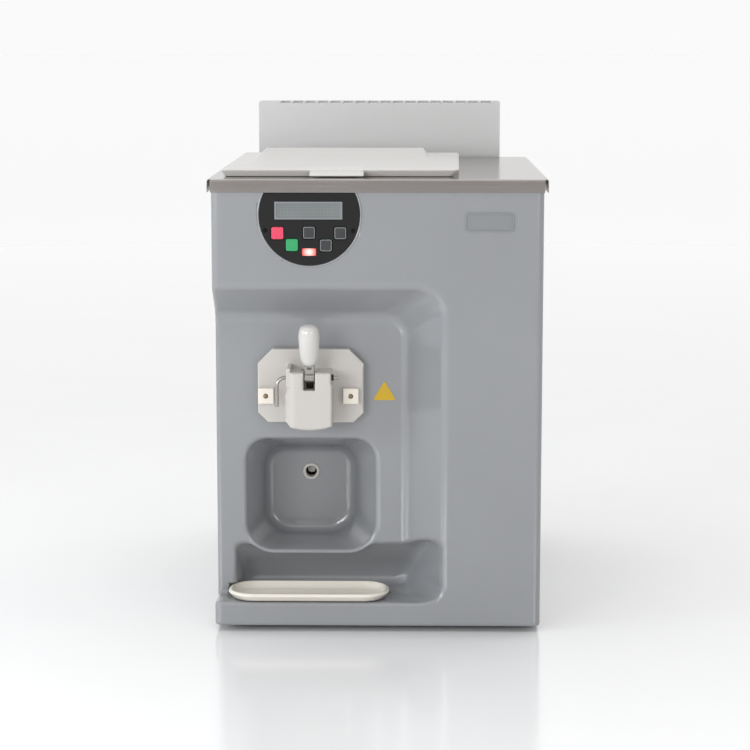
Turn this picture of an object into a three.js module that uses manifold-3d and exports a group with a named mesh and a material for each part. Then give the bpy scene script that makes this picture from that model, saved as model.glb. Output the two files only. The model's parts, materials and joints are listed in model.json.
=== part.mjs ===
// Countertop soft-serve ice cream machine with one dispensing head, as an assembly of separate parts.
// Millimetres. +X is the machine's right as a user faces it, -Y its front, +Z up.
// Parts are drawn with y = 0 on the front face, z = 0 under the body and x = 0 on its centreline.
// The exported group then stands the feet on z = 0 and centres the footprint on the origin.

import * as THREE from 'three';
import { mergeVertices } from 'three/addons/utils/BufferGeometryUtils.js';
import Module from 'manifold-3d';

const wasm = await Module();
wasm.setup();

// ---- Driving dimensions -------------------------------------------------------------------

const GAP = 0.3; // between parts that touch
const HALF_WIDTH = 200;
const BODY_DEPTH = 532;
const BODY_TOP = 547;
const FOOT_HEIGHT = 7;
const MIDDLE_DEPTH = 285; // half way from the lever knob's front to the duct's back
const SKIN = 4; // moulded front panel wall
const SHEET = 1.5; // folded steel sheet
const PANEL_RETURN = 62; // how far the front panel wraps round the sides

const COVER = { half: 205, front: -2, top: 548.8, lip: 15.8 };
const RECESS = { depth: 48, right: 80, rightBack: 34, top: 418, topBack: 380, floor: 29.3, radius: 28 };
const CUP = { left: -163.5, right: -2.5, bottom: 85, top: 226, back: 145, radius: 25 };
const CUP_BACK = { left: -144, right: -32, bottom: 88, top: 198, radius: 20 };
const TRAY_NICHE = {
  left: -177.5, leftBack: -166.5, rightBack: 36, topFront: 107, top: 98, topBack: 48, back: 100, corner: 22,
};

const HEAD = { x: -82.2, z: 294, width: 130, height: 91, back: 47.7, front: 33 };
const SPIGOT = { width: 53, bottom: 249, top: 316, front: -10 };
const PIN = { y: 2, z: 309, radius: 2.3 };
const ARM = { reach: 22, drop: Math.PI / 6 }; // lever arm that lifts the piston
const PISTON = { y: PIN.y + ARM.reach * Math.cos(ARM.drop), radius: 10.8, bottom: 252 };
const LEVER_LEAN = THREE.MathUtils.degToRad(12);
const STUD = { left: -136.8, right: -32.8, z: 282.6, radius: 4 };

const BARREL = { inner: 38, outer: 41, end: 334 };
const INSULATION = { outer: 62, front: 60, rear: 325 };
const SHAFT_RADIUS = 6;
const MOTOR = { x: 90, radius: 58, front: 200 };
const BULKHEAD = { front: 362, rear: 366 };
const BELT = { front: 380.6, rear: 389.4, thick: 4.6, drivenRadius: 50.4, motorRadius: 14.4 };

const HOPPER = { left: -176, right: 86, front: 60, rear: 430, floor: 420 };
const FEED = { y: 290, pipe: 12, bore: 10 };
const LID = { left: -191, right: 103, front: 44, rear: 447, base: 549.1, top: 559, humpTop: 566 };
const DUCT = { left: -179, right: 168, front: 532.3, rear: 592.2, bottom: 52, top: 628.7 };

const DISC = { x: -81.5, z: 506, radius: 61, top: 532.6, depth: 3 };
const LCD = { left: -123.4, right: -42, bottom: 500.8, top: 522 };
const INDICATOR = { x: -82, z: 461.6, width: 16.7, height: 8.6 };
const KEY = { size: 15.6, front: -0.7, rear: 1.6 };
const KEYS = {
  key_standby: [-120, 484.4],
  key_produce: [-102.6, 470.1],
  key_select: [-82, 485],
  key_menu: [-61.8, 469.7],
  key_set: [-44.4, 484.4],
};

const DISH = { x: -85.5, y: 36, length: 200, depth: 76, radius: 32, height: 10.4 };
const DRAIN = { x: -87, z: 166 };

// ---- Finishes -----------------------------------------------------------------------------

const finish = (color, roughness, metalness = 0) =>
  new THREE.MeshStandardMaterial({ color, roughness, metalness });

const FINISH = {
  body: finish(0x9aa3ad, 0.25),
  steel: finish(0xb4b0ac, 0.35, 1),
  galvanised: finish(0x9b9fa3, 0.5, 1),
  duct: finish(0xc6c6c5, 0.45),
  white: finish(0xe9e7e2, 0.35),
  cream: finish(0xe4dfd2, 0.3),
  black: finish(0x17181a, 0.4),
  rubber: finish(0x1d1d1e, 0.8),
  screen: finish(0x8f9c93, 0.15),
  red: finish(0xd94a5c, 0.4),
  green: finish(0x2f9a63, 0.4),
  grey: finish(0x3b3d40, 0.4),
  foam: finish(0xd9cfa8, 0.9),
  copper: finish(0xb87346, 0.35, 1),
  castIron: finish(0x26282b, 0.6, 0.4),
  aluminium: finish(0xa9adb1, 0.4, 1),
  board: finish(0x2f6b3c, 0.6),
};

// ---- Geometry helpers ---------------------------------------------------------------------

// A closed three.js geometry as a solid, with its faces turned outwards.
function solid(geometry) {
  const bare = geometry.clone();
  for (const name of Object.keys(bare.attributes)) {
    if (name !== 'position') bare.deleteAttribute(name);
  }
  const merged = mergeVertices(bare, 1e-4);
  const triVerts = new Uint32Array(merged.index.array);
  const build = () =>
    new wasm.Manifold(
      new wasm.Mesh({ numProp: 3, vertProperties: merged.attributes.position.array, triVerts }),
    );
  const made = build();
  if (made.volume() >= 0) return made;
  triVerts.reverse();
  return build();
}

function geometryOf(made) {
  const mesh = made.getMesh();
  const geometry = new THREE.BufferGeometry();
  geometry.setAttribute('position', new THREE.BufferAttribute(mesh.vertProperties, 3));
  geometry.setIndex(new THREE.BufferAttribute(mesh.triVerts, 1));
  geometry.computeVertexNormals();
  return geometry;
}

const join = (first, ...others) => others.reduce((sum, next) => sum.add(next), first);
const cut = (first, ...others) => others.reduce((rest, next) => rest.subtract(next), first);

function box(x0, x1, y0, y1, z0, z1) {
  const geometry = new THREE.BoxGeometry(x1 - x0, y1 - y0, z1 - z0);
  geometry.translate((x0 + x1) / 2, (y0 + y1) / 2, (z0 + z1) / 2);
  return solid(geometry);
}

const AXES = {
  x: new THREE.Matrix4().makeBasis(
    new THREE.Vector3(0, 1, 0),
    new THREE.Vector3(0, 0, 1),
    new THREE.Vector3(1, 0, 0),
  ),
  z: new THREE.Matrix4(),
};

// A shape pushed along z, drawn in (x, y), or along x, drawn in (y, z).
function prism(shape, axis, from, to, curveSegments = 6) {
  const geometry = new THREE.ExtrudeGeometry(shape, {
    depth: to - from,
    bevelEnabled: false,
    curveSegments,
  });
  geometry.translate(0, 0, from);
  geometry.applyMatrix4(AXES[axis]);
  return solid(geometry);
}

// A shape drawn in (x, z) and pushed along y.
function prismY(shape, from, to, curveSegments = 6) {
  const geometry = new THREE.ExtrudeGeometry(shape, {
    depth: to - from,
    bevelEnabled: false,
    curveSegments,
  });
  geometry.rotateX(Math.PI / 2);
  geometry.translate(0, to, 0);
  return solid(geometry);
}

// A profile of [radius, place along the axis] turned about an axis through a point.
function turned(profile, axis, centre, segments = 24) {
  const points = profile.map(([radius, along]) => new THREE.Vector2(radius, along));
  const geometry = new THREE.LatheGeometry(points, segments);
  if (axis === 'x') geometry.rotateZ(-Math.PI / 2);
  if (axis === 'z') geometry.rotateX(Math.PI / 2);
  geometry.translate(...centre);
  return solid(geometry);
}

function rod(radius, axis, from, to, centre, segments = 12) {
  return turned([[0, from], [radius, from], [radius, to], [0, to]], axis, centre, segments);
}

function ring(inner, outer, axis, from, to, centre, segments = 24) {
  const profile = [[inner, from], [outer, from], [outer, to], [inner, to], [inner, from]];
  return turned(profile, axis, centre, segments);
}

function roundedRectangle(x0, x1, y0, y1, radius) {
  const shape = new THREE.Shape();
  shape.moveTo(x0 + radius, y0);
  shape.lineTo(x1 - radius, y0);
  shape.absarc(x1 - radius, y0 + radius, radius, -Math.PI / 2, 0);
  shape.lineTo(x1, y1 - radius);
  shape.absarc(x1 - radius, y1 - radius, radius, 0, Math.PI / 2);
  shape.lineTo(x0 + radius, y1);
  shape.absarc(x0 + radius, y1 - radius, radius, Math.PI / 2, Math.PI);
  shape.lineTo(x0, y0 + radius);
  shape.absarc(x0 + radius, y0 + radius, radius, Math.PI, 1.5 * Math.PI);
  return shape;
}

function chamferedRectangle(x0, x1, y0, y1, low, high) {
  return new THREE.Shape([
    new THREE.Vector2(x0 + low, y0),
    new THREE.Vector2(x1 - low, y0),
    new THREE.Vector2(x1, y0 + low),
    new THREE.Vector2(x1, y1 - high),
    new THREE.Vector2(x1 - high, y1),
    new THREE.Vector2(x0 + high, y1),
    new THREE.Vector2(x0, y1 - high),
    new THREE.Vector2(x0, y0 + low),
  ]);
}

// A closed solid through rings of the same number of points, with flat ends.
function loft(rings) {
  const count = rings[0].length;
  const points = rings.flat();
  const index = [];
  for (let r = 0; r + 1 < rings.length; r++) {
    for (let i = 0; i < count; i++) {
      const next = (i + 1) % count;
      const [a, b] = [r * count + i, r * count + next];
      index.push(a, b, b + count, a, b + count, a + count);
    }
  }
  const flat = rings[0].map((p) => new THREE.Vector2(p.u, p.v));
  const last = points.length - count;
  const clockwise = THREE.ShapeUtils.isClockWise(flat);
  for (const [a, b, c] of THREE.ShapeUtils.triangulateShape(flat, [])) {
    if (clockwise) {
      index.push(a, b, c, last + a, last + c, last + b);
    } else {
      index.push(a, c, b, last + a, last + b, last + c);
    }
  }
  const geometry = new THREE.BufferGeometry();
  geometry.setAttribute(
    'position',
    new THREE.Float32BufferAttribute(points.flatMap((p) => p.at), 3),
  );
  geometry.setIndex(index);
  return solid(geometry);
}

// One ring of a loft: a rounded rectangle in (u, v), placed in space by a function.
function roundedRing(u0, u1, v0, v1, radius, place, steps = 4) {
  const corners = [
    [u1 - radius, v0 + radius, -Math.PI / 2],
    [u1 - radius, v1 - radius, 0],
    [u0 + radius, v1 - radius, Math.PI / 2],
    [u0 + radius, v0 + radius, Math.PI],
  ];
  return corners.flatMap(([cu, cv, start]) =>
    Array.from({ length: steps + 1 }, (_, i) => {
      const angle = start + (i / steps) * (Math.PI / 2);
      const u = cu + radius * Math.cos(angle);
      const v = cv + radius * Math.sin(angle);
      return { u, v, at: place(u, v) };
    }),
  );
}

const atY = (y) => (u, v) => [u, y, v];
const atZ = (z) => (u, v) => [u, v, z];

// A round tube along a smooth curve through points.
function tube(points, radius, steps) {
  const path = new THREE.CatmullRomCurve3(points.map((p) => new THREE.Vector3(...p)));
  const section = new THREE.Shape();
  section.absarc(0, 0, radius, 0, 2 * Math.PI);
  const geometry = new THREE.ExtrudeGeometry(section, {
    extrudePath: path,
    steps,
    curveSegments: 4,
    bevelEnabled: false,
  });
  return solid(geometry);
}

// ---- Front panel --------------------------------------------------------------------------

const BEYOND = 30; // how far a cutting solid runs past the body

function recessSolid(grow) {
  const slope = (RECESS.right - RECESS.rightBack) / RECESS.depth;
  const rise = (RECESS.top - RECESS.topBack) / RECESS.depth;
  const section = (y) =>
    roundedRing(
      -HALF_WIDTH - 3 * BEYOND,
      RECESS.right - slope * y + grow,
      RECESS.floor - grow,
      RECESS.top - rise * y + grow,
      RECESS.radius,
      atY(y),
    );
  return loft([section(-6), section(RECESS.depth + grow)]);
}

function cupSolid(grow) {
  const front = roundedRing(
    CUP.left - grow, CUP.right + grow, CUP.bottom - grow, CUP.top + grow, CUP.radius,
    atY(RECESS.depth - 0.5),
  );
  const back = roundedRing(
    CUP_BACK.left - grow, CUP_BACK.right + grow, CUP_BACK.bottom - grow, CUP_BACK.top + grow,
    CUP_BACK.radius, atY(CUP.back + grow),
  );
  return loft([front, back]);
}

function trayNicheSolid(grow) {
  const { left, leftBack, rightBack, topFront, top, topBack, back } = TRAY_NICHE;
  const rightAt = (y) => THREE.MathUtils.lerp(RECESS.right, rightBack, y / back);
  const section = (leftEdge, roof, y) =>
    roundedRing(
      leftEdge - grow, rightAt(y) + grow, RECESS.floor - grow, roof + grow, 8, atY(y + grow), 2,
    );
  const corner = (y) =>
    roundedRing(
      -HALF_WIDTH, rightAt(y) + grow, RECESS.floor - grow, RECESS.top, TRAY_NICHE.corner, atY(y),
    );
  return loft([
    section(left, topFront, -grow),
    section(left, top, RECESS.depth - grow),
    section(leftBack, topBack, back),
  ]).intersect(loft([corner(-BEYOND), corner(back + BEYOND)]));
}

// Pocket round the ends of the drip dish, let into the foot of the recess.
function dishPocketSolid(grow) {
  const { x, y, length, depth, radius } = DISH;
  const reach = 3 + grow;
  const section = (z) =>
    roundedRing(
      x - length / 2 - reach, x + length / 2 + reach, y - depth / 2 - reach, y + depth / 2 + reach,
      radius, atZ(z),
    );
  const whole = loft([section(RECESS.floor - grow), section(RECESS.floor + 13 + grow)]);
  return whole.intersect(box(-HALF_WIDTH, HALF_WIDTH, 30, 200, 0, 200));
}

// The outer plan of the panel, with round front corners, open to the rear.
function panelPlan(inset, radius) {
  const x = HALF_WIDTH - inset;
  const plan = new THREE.Shape();
  plan.moveTo(-x, PANEL_RETURN);
  plan.lineTo(-x, inset + radius);
  plan.absarc(-x + radius, inset + radius, radius, Math.PI, 1.5 * Math.PI);
  plan.lineTo(x - radius, inset);
  plan.absarc(x - radius, inset + radius, radius, -Math.PI / 2, 0);
  plan.lineTo(x, PANEL_RETURN);
  return plan;
}

// The round field of the control panel, cut straight where the cover's lip passes over it.
function discShape(radius, top) {
  const half = Math.asin((top - DISC.z) / radius);
  const shape = new THREE.Shape();
  shape.absarc(DISC.x, DISC.z, radius, half, Math.PI - half, true);
  return shape;
}

// The whole front moulding: skin, serving recess, cup niche and tray niche as one shell.
function frontMoulding() {
  const outer = prism(panelPlan(0, 8), 'z', 0, BODY_TOP - GAP);
  const inner = prism(panelPlan(SKIN, 5), 'z', -BEYOND, BODY_TOP + BEYOND)
    .add(box(-HALF_WIDTH + SKIN, HALF_WIDTH - SKIN, PANEL_RETURN - 1, PANEL_RETURN + 1, -BEYOND, 600));
  const pockets = join(cupSolid(SKIN), trayNicheSolid(SKIN), dishPocketSolid(SKIN));
  const body = join(outer, pockets);
  const shell = body.subtract(inner.subtract(join(recessSolid(SKIN), pockets)));
  const wall = [RECESS.depth - 1, RECESS.depth + SKIN + 1];
  return cut(
    shell,
    recessSolid(0),
    cupSolid(0),
    trayNicheSolid(0).subtract(cupSolid(SKIN)),
    dishPocketSolid(0),
    rod(BARREL.outer + 0.6, 'y', ...wall, [HEAD.x, 0, HEAD.z], 24),
    rod(STUD.radius + 0.5, 'y', ...wall, [STUD.left, 0, STUD.z]),
    rod(STUD.radius + 0.5, 'y', ...wall, [STUD.right, 0, STUD.z]),
    rod(9, 'y', CUP.back - 4, CUP.back + SKIN + 4, [DRAIN.x, 0, DRAIN.z], 16),
    prismY(discShape(DISC.radius + 0.4, 534), -1, DISC.depth, 12),
    box(LCD.left - 0.4, LCD.right + 0.4, 0, 6, LCD.bottom - 0.4, LCD.top + 0.4),
  );
}

// The moulding is kept as three pieces: the front with its side returns, the recess and the niches.
const MOULDING = frontMoulding();
const LINER_EDGE = HALF_WIDTH - SKIN - 0.5;

function slice(y0, y1) {
  const reach = SKIN + 0.5;
  return MOULDING.intersect(
    box(-LINER_EDGE, RECESS.right + reach, y0, y1, RECESS.floor - reach, RECESS.top + reach),
  );
}

const frontPanel = () =>
  cut(MOULDING, box(-LINER_EDGE - GAP, LINER_EDGE + GAP, SKIN, 300, -BEYOND, 600));

const recessLiner = () => slice(SKIN + GAP, RECESS.depth + SKIN);

const nicheLiner = () => slice(RECESS.depth + SKIN + GAP, 300);

// ---- Casing -------------------------------------------------------------------------------

function sidePanel(side) {
  const outer = side * HALF_WIDTH;
  const inner = side * (HALF_WIDTH - SHEET);
  const x0 = Math.min(outer, inner);
  const x1 = Math.max(outer, inner);
  const louvres = [];
  for (let row = 0; row < 9; row++) {
    const z = 60 + row * 16;
    louvres.push(box(x0 - 1, x1 + 1, 330, 470, z, z + 5));
  }
  return cut(box(x0, x1, PANEL_RETURN + GAP, BODY_DEPTH - 2.2, 0, BODY_TOP - GAP), ...louvres);
}

function rearPanel() {
  const plate = box(-HALF_WIDTH + 2, HALF_WIDTH - 2, BODY_DEPTH - 1.8, BODY_DEPTH - 0.3, 0.5, 546.6);
  const slots = [];
  for (let row = 0; row < 9; row++) {
    const z = 62 + row * 18;
    slots.push(box(8, 152, BODY_DEPTH - 5, BODY_DEPTH + 2, z, z + 10));
  }
  return cut(plate, ...slots, rod(9, 'y', BODY_DEPTH - 5, BODY_DEPTH + 2, [INLET.x, 0, INLET.z], 16));
}

const TRAY = { half: 195.5, front: 7.2, rear: 529.5, rim: 20 };
const INLET = { x: -140, z: 31 };

function baseTray() {
  const outer = box(-TRAY.half, TRAY.half, TRAY.front, TRAY.rear, 0.3, TRAY.rim);
  const hollow = box(
    -TRAY.half + SHEET, TRAY.half - SHEET, TRAY.front + SHEET, TRAY.rear - SHEET, 2.3, TRAY.rim + 5,
  );
  const holes = Object.values(FEET).map(([x, y]) => rod(3.8, 'z', -1, 4, [x, y, 0], 8));
  return cut(outer, hollow, ...holes);
}

const FEET = {
  foot_front_left: [-165, 62],
  foot_front_right: [165, 62],
  foot_rear_left: [-165, 480],
  foot_rear_right: [165, 480],
};

// A rubber foot with its fixing stud through the tray.
function foot([x, y]) {
  const profile = [[0, -FOOT_HEIGHT], [14, -FOOT_HEIGHT], [17, 0], [3.4, 0], [3.4, 9], [0, 9]];
  return turned(profile, 'z', [x, y, 0], 16);
}

function topCover() {
  const { half, front, top, lip } = COVER;
  const under = top - SHEET;
  const plan = chamferedRectangle(-half, half, front, BODY_DEPTH, 8, 0.5);
  const plate = prism(plan, 'z', under, top);
  const frontLip = box(-195, 195, front, front + SHEET, top - lip, top - 0.1);
  const side = (x0, x1) => box(x0, x1, 8, BODY_DEPTH - 1, top - lip, top - 0.1);
  const opening = box(HOPPER.left, HOPPER.right, HOPPER.front, HOPPER.rear, under - 5, top + 5);
  return cut(
    join(plate, frontLip, side(-half, -half + SHEET), side(half - SHEET, half)),
    opening,
  );
}

// Tall rear duct: takes the warm air from the back panel and lets it out through its slotted top.
function rearAirDuct() {
  const plan = (inset, radius) =>
    roundedRectangle(DUCT.left + inset, DUCT.right - inset, DUCT.front + inset, DUCT.rear - inset, radius);
  const outer = prism(plan(0, 6), 'z', DUCT.bottom, DUCT.top, 3);
  const inner = prism(plan(SHEET, 4.5), 'z', DUCT.bottom + SHEET, DUCT.top - SHEET, 3);
  const inlet = box(DUCT.left + 14, DUCT.right - 14, DUCT.front - 4, DUCT.front + 4, 60, 540);
  const pitch = 17.9;
  const count = 18;
  const centre = (DUCT.left + DUCT.right) / 2;
  const slots = Array.from({ length: count }, (_, i) => {
    const x = centre + (i - (count - 1) / 2) * pitch;
    return box(x - 7.1, x + 7.1, DUCT.front + 5, DUCT.rear - 10, DUCT.top - 5, DUCT.top + 5);
  });
  return cut(outer, inner, inlet, ...slots);
}

// Moulded cable gland for the supply lead, low on the back.
function powerInlet() {
  const profile = [
    [3.5, BODY_DEPTH - 14], [8.6, BODY_DEPTH - 14], [8.6, BODY_DEPTH], [13, BODY_DEPTH],
    [13, BODY_DEPTH + 5], [8, BODY_DEPTH + 8], [6, BODY_DEPTH + 24], [3.5, BODY_DEPTH + 24],
    [3.5, BODY_DEPTH - 14],
  ];
  return turned(profile, 'y', [INLET.x, 0, INLET.z], 12);
}

// ---- Hopper -------------------------------------------------------------------------------

// The lid's rim leans in towards its foot, and a finger lip stands out at the front.
function hopperLid() {
  const { left, right, front, rear, base, top, humpTop } = LID;
  const section = (inset, z) =>
    roundedRing(left + inset, right - inset, front + inset, rear - inset, 7, atZ(z), 3);
  const shell = loft([section(4.5, base), section(0, top - 2.5), section(2, top)]);
  const hump = loft([
    roundedRing(-169, 64, 270, 440, 6, atZ(top - 2), 2),
    roundedRing(-160, 57, 400, 435, 6, atZ(humpTop), 2),
  ]);
  const fingerLip = box(-83, -17, front - 11.6, front + 20, base + 1, base + 6.5);
  const hollow = loft([section(8, base - 1), section(3.5, top - 4), section(4, top - 3)]);
  return cut(join(shell, hump, fingerLip), hollow);
}

function hopperTank() {
  const { left, right, front, rear, floor } = HOPPER;
  const wall = 2;
  const outer = box(left + 1, right - 1, front + 1, rear - 1, floor - 2, BODY_TOP - 0.2);
  const flange = box(left - 12, right + 12, front - 2, rear + 12, BODY_TOP - 2.2, BODY_TOP - 0.2);
  const outlet = rod(FEED.pipe, 'z', 336.5, floor - 1, [HEAD.x, FEED.y, 0], 20);
  const hollow = box(
    left + 1 + wall, right - 1 - wall, front + 1 + wall, rear - 1 - wall, floor, BODY_TOP + 1,
  );
  const bore = rod(FEED.bore, 'z', 330, floor + 5, [HEAD.x, FEED.y, 0], 20);
  return cut(join(outer, flange, outlet), hollow, bore);
}

// Stand pipe that meters mix and air into the cylinder; it lifts out of its seat in the hopper floor.
function feedTube() {
  const { floor } = HOPPER;
  const profile = [
    [6.8, floor - 14], [9.4, floor - 14], [9.4, floor + GAP], [13, floor + GAP], [13, floor + 4.5],
    [9.4, floor + 4.5], [9.4, floor + 98], [6.8, floor + 98], [6.8, floor - 14],
  ];
  const inlet = rod(3, 'x', 0, 20, [HEAD.x, FEED.y, floor + 12], 8);
  return cut(turned(profile, 'z', [HEAD.x, FEED.y, 0], 16), inlet);
}

// ---- Freezing cylinder and drive ----------------------------------------------------------

function freezingCylinder() {
  const { inner, outer, end } = BARREL;
  const front = RECESS.depth + GAP;
  const profile = [
    [inner, front], [outer, front], [outer, end], [SHAFT_RADIUS + 1.5, end],
    [SHAFT_RADIUS + 1.5, end - 3], [inner, end - 3], [inner, front],
  ];
  const barrel = turned(profile, 'y', [HEAD.x, 0, HEAD.z], 24);
  const flange = cut(
    box(HEAD.x - 64, HEAD.x + 64, 53, 57, HEAD.z - 44, HEAD.z + 44),
    rod(inner + 1.5, 'y', 50, 60, [HEAD.x, 0, HEAD.z], 24),
  );
  const inlet = rod(9, 'z', 0, 60, [HEAD.x, FEED.y, HEAD.z], 16);
  return cut(join(barrel, flange), inlet);
}

function cylinderInsulation() {
  const sleeve = ring(
    BARREL.outer + 0.5, INSULATION.outer, 'y', INSULATION.front, INSULATION.rear, [HEAD.x, 0, HEAD.z],
  );
  const pipe = rod(FEED.pipe + 0.8, 'z', 0, 90, [HEAD.x, FEED.y, HEAD.z], 16);
  const suction = rod(5.2, 'x', 0, 90, [HEAD.x, 305, HEAD.z], 8);
  return cut(sleeve, pipe, suction);
}

// Helical three-bladed scraper on its drive shaft.
function beater() {
  const [start, end, stations, twist] = [68, 326, 12, THREE.MathUtils.degToRad(200)];
  const core = 9;
  const tip = 37.2;
  const section = (step) => {
    const y = start + ((end - start) * step) / stations;
    const turn = (twist * step) / stations;
    const ringPoints = [];
    for (let blade = 0; blade < 3; blade++) {
      const middle = turn + (blade * 2 * Math.PI) / 3;
      for (const [radius, offset] of [[core, -0.42], [tip, -0.07], [tip, 0.07], [core, 0.42]]) {
        const angle = middle + offset;
        const u = radius * Math.cos(angle);
        const v = radius * Math.sin(angle);
        ringPoints.push({ u, v, at: [HEAD.x + u, y, HEAD.z + v] });
      }
    }
    return ringPoints;
  };
  const blades = loft(Array.from({ length: stations + 1 }, (_, step) => section(step)));
  return join(blades, rod(SHAFT_RADIUS, 'y', end - 10, 397, [HEAD.x, 0, HEAD.z], 16));
}

const shaftSeal = () =>
  ring(SHAFT_RADIUS + GAP, 15, 'y', BARREL.end + 0.4, 344.6, [HEAD.x, 0, HEAD.z], 16);

function bearingHousing() {
  const bore = SHAFT_RADIUS + 0.4;
  const profile = [
    [bore, 345], [20, 345], [20, BULKHEAD.rear + 0.4], [30, BULKHEAD.rear + 0.4], [30, 370.5],
    [14, 370.5], [14, 373], [bore, 373], [bore, 345],
  ];
  return turned(profile, 'y', [HEAD.x, 0, HEAD.z], 16);
}

function driveBulkhead() {
  const { front, rear } = BULKHEAD;
  return cut(
    box(-150, 160, front, rear, 2.6, 365),
    rod(20.6, 'y', front - 2, rear + 2, [HEAD.x, 0, HEAD.z], 20),
    rod(9, 'y', front - 2, rear + 2, [MOTOR.x, 0, HEAD.z], 16),
    box(-8, 140, front - 2, rear + 2, 40, 220),
  );
}

// Pulley grooves sit one gap inside the belt, with rims on both sides.
function pulleyProfile(beltRadius, hub, ends) {
  const groove = beltRadius - 0.4;
  const rim = beltRadius + BELT.thick;
  const [front, rear] = [BELT.front - 0.6, BELT.rear + 0.6];
  return [
    [hub, ends[0]], [hub + 6, ends[0]], [hub + 6, front - 2], [rim, front - 2], [rim, front],
    [groove, front], [groove, rear], [rim, rear], [rim, rear + 2], [hub + 6, rear + 2],
    [hub + 6, ends[1]], [hub, ends[1]], [hub, ends[0]],
  ];
}

const drivenPulley = () =>
  turned(
    pulleyProfile(BELT.drivenRadius, SHAFT_RADIUS + GAP, [375, 395]), 'y', [HEAD.x, 0, HEAD.z], 20,
  );

// The motor's pulley is cut in one with its shaft.
function motorPulley() {
  const centre = [MOTOR.x, 0, HEAD.z];
  const wheel = turned(pulleyProfile(BELT.motorRadius, 5, [375, 395]), 'y', centre, 16);
  return join(wheel, rod(6, 'y', 352, 396, centre, 16));
}

function beltLoop(grow) {
  const driven = BELT.drivenRadius + grow;
  const motor = BELT.motorRadius + grow;
  const lean = Math.acos((driven - motor) / (MOTOR.x - HEAD.x));
  const loop = new THREE.Shape();
  loop.absarc(HEAD.x, HEAD.z, driven, lean, 2 * Math.PI - lean);
  loop.absarc(MOTOR.x, HEAD.z, motor, -lean, lean);
  return loop;
}

const driveBelt = () =>
  prismY(beltLoop(BELT.thick), BELT.front, BELT.rear, 12)
    .subtract(prismY(beltLoop(0.1), BELT.front - 2, BELT.rear + 2, 12));

function driveMotor() {
  const { x, radius, front } = MOTOR;
  const rear = BULKHEAD.front - GAP;
  const profile = [
    [0, front], [radius - 8, front], [radius, front + 8], [radius, rear - 12], [radius - 8, rear],
    [6.5, rear], [6.5, 351], [0, 351],
  ];
  return turned(profile, 'y', [x, 0, HEAD.z], 24);
}

// ---- Refrigeration ------------------------------------------------------------------------

const COMPRESSOR = { x: -90, y: 270, radius: 70, base: 4 };

function compressor() {
  const { x, y, radius, base } = COMPRESSOR;
  const shell = turned(
    [[0, 12], [radius - 14, 12], [radius, 28], [radius, 130], [radius - 8, 160], [radius - 30, 178], [0, 184]],
    'z', [x, y, 0], 24,
  );
  const plate = box(x - 75, x + 75, y - 55, y + 55, base, base + 10);
  return cut(join(shell, plate), rod(4.8, 'x', radius - 12, radius + 8, [x, y, 120], 8));
}

// Copper line from the compressor's side to the condenser's lower corner.
const dischargeLine = () =>
  tube(
    [[-31, 270, 120], [-20, 270, 120], [-10, 272, 120], [4, 290, 121], [8, 340, 120], [-2, 400, 110], [-12, 460, 90],
      [-12, 488, 70], [-6, 492, 60], [4.5, 492, 60]],
    3.5, 20,
  );

// Insulated return line from the evaporator down to the compressor's top.
const suctionLine = () =>
  tube(
    [[-38, 305, 294], [-14, 305, 294], [0, 305, 270], [-4, 300, 220], [-40, 285, 200], [-66, 270, 196],
      [-70, 270, 182.5]],
    3.5, 16,
  );

function condenser() {
  const core = box(5, 155, 480, 505, 40, 220);
  const gaps = [];
  for (let x = 14; x < 150; x += 10) gaps.push(box(x, x + 6, 470, 500, 46, 214));
  return cut(core, ...gaps);
}

const FAN = { x: 80, z: 130, radius: 64 };

function fanShroud() {
  const collar = rod(FAN.radius + 6, 'y', 448, 476, [FAN.x, 0, FAN.z], 24);
  const plate = box(5, 155, 473, 476, 50, 210);
  return cut(join(plate, collar), rod(FAN.radius + 3.5, 'y', 440, 480, [FAN.x, 0, FAN.z], 24));
}

function fanBlade() {
  const centre = [FAN.x, 0, FAN.z];
  const blades = [];
  for (let i = 0; i < 5; i++) {
    const blade = new THREE.BoxGeometry(FAN.radius - 12, 1.8, 28);
    blade.translate((FAN.radius - 12) / 2 + 12, 0, 0);
    blade.rotateX(THREE.MathUtils.degToRad(28));
    blade.rotateY((i * 2 * Math.PI) / 5);
    blade.translate(FAN.x, 460, FAN.z);
    blades.push(solid(blade));
  }
  return join(rod(17, 'y', 452, 468, centre, 16), rod(4, 'y', 438, 455, centre, 10), ...blades);
}

// The fan motor with the strap that carries it in front of the shroud.
function fanMotor() {
  const centre = [FAN.x, 0, FAN.z];
  const body = rod(26, 'y', 405, 446, centre, 20);
  const strap = box(FAN.x - 76, FAN.x + 76, 424, 427, FAN.z - 8, FAN.z + 8);
  const legs = [-76, 73].map((x) =>
    box(FAN.x + x, FAN.x + x + 3, 424, 472.6, FAN.z - 8, FAN.z + 8),
  );
  return cut(join(body, strap, ...legs), rod(4.5, 'y', 436, 450, centre, 10));
}

// ---- Electrics and control panel ----------------------------------------------------------

const electricalBox = () => prism(roundedRectangle(112, 186, 84, 204, 6), 'z', 372, 520, 2);

// Circuit board with its two tall components.
const controlBoard = () =>
  join(
    box(-142, -22, 9, 10.8, 450, 531),
    box(-120, -90, 10.5, 24, 460, 485),
    box(-70, -40, 10.5, 20, 495, 520),
  );

function controlOverlay() {
  const face = prismY(discShape(DISC.radius, DISC.top), 0, 1.5, 24);
  const half = KEY.size / 2 + 0.4;
  const keyHoles = Object.values(KEYS).map(([x, z]) =>
    box(x - half, x + half, -2, 4, z - half, z + half),
  );
  const { x, z, width, height } = INDICATOR;
  return cut(
    face,
    ...keyHoles,
    box(LCD.left - 0.4, LCD.right + 0.4, -2, 4, LCD.bottom - 0.4, LCD.top + 0.4),
    box(x - width / 2 - GAP, x + width / 2 + GAP, -2, 4, z - height / 2 - GAP, z + height / 2 + GAP),
  );
}

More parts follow.
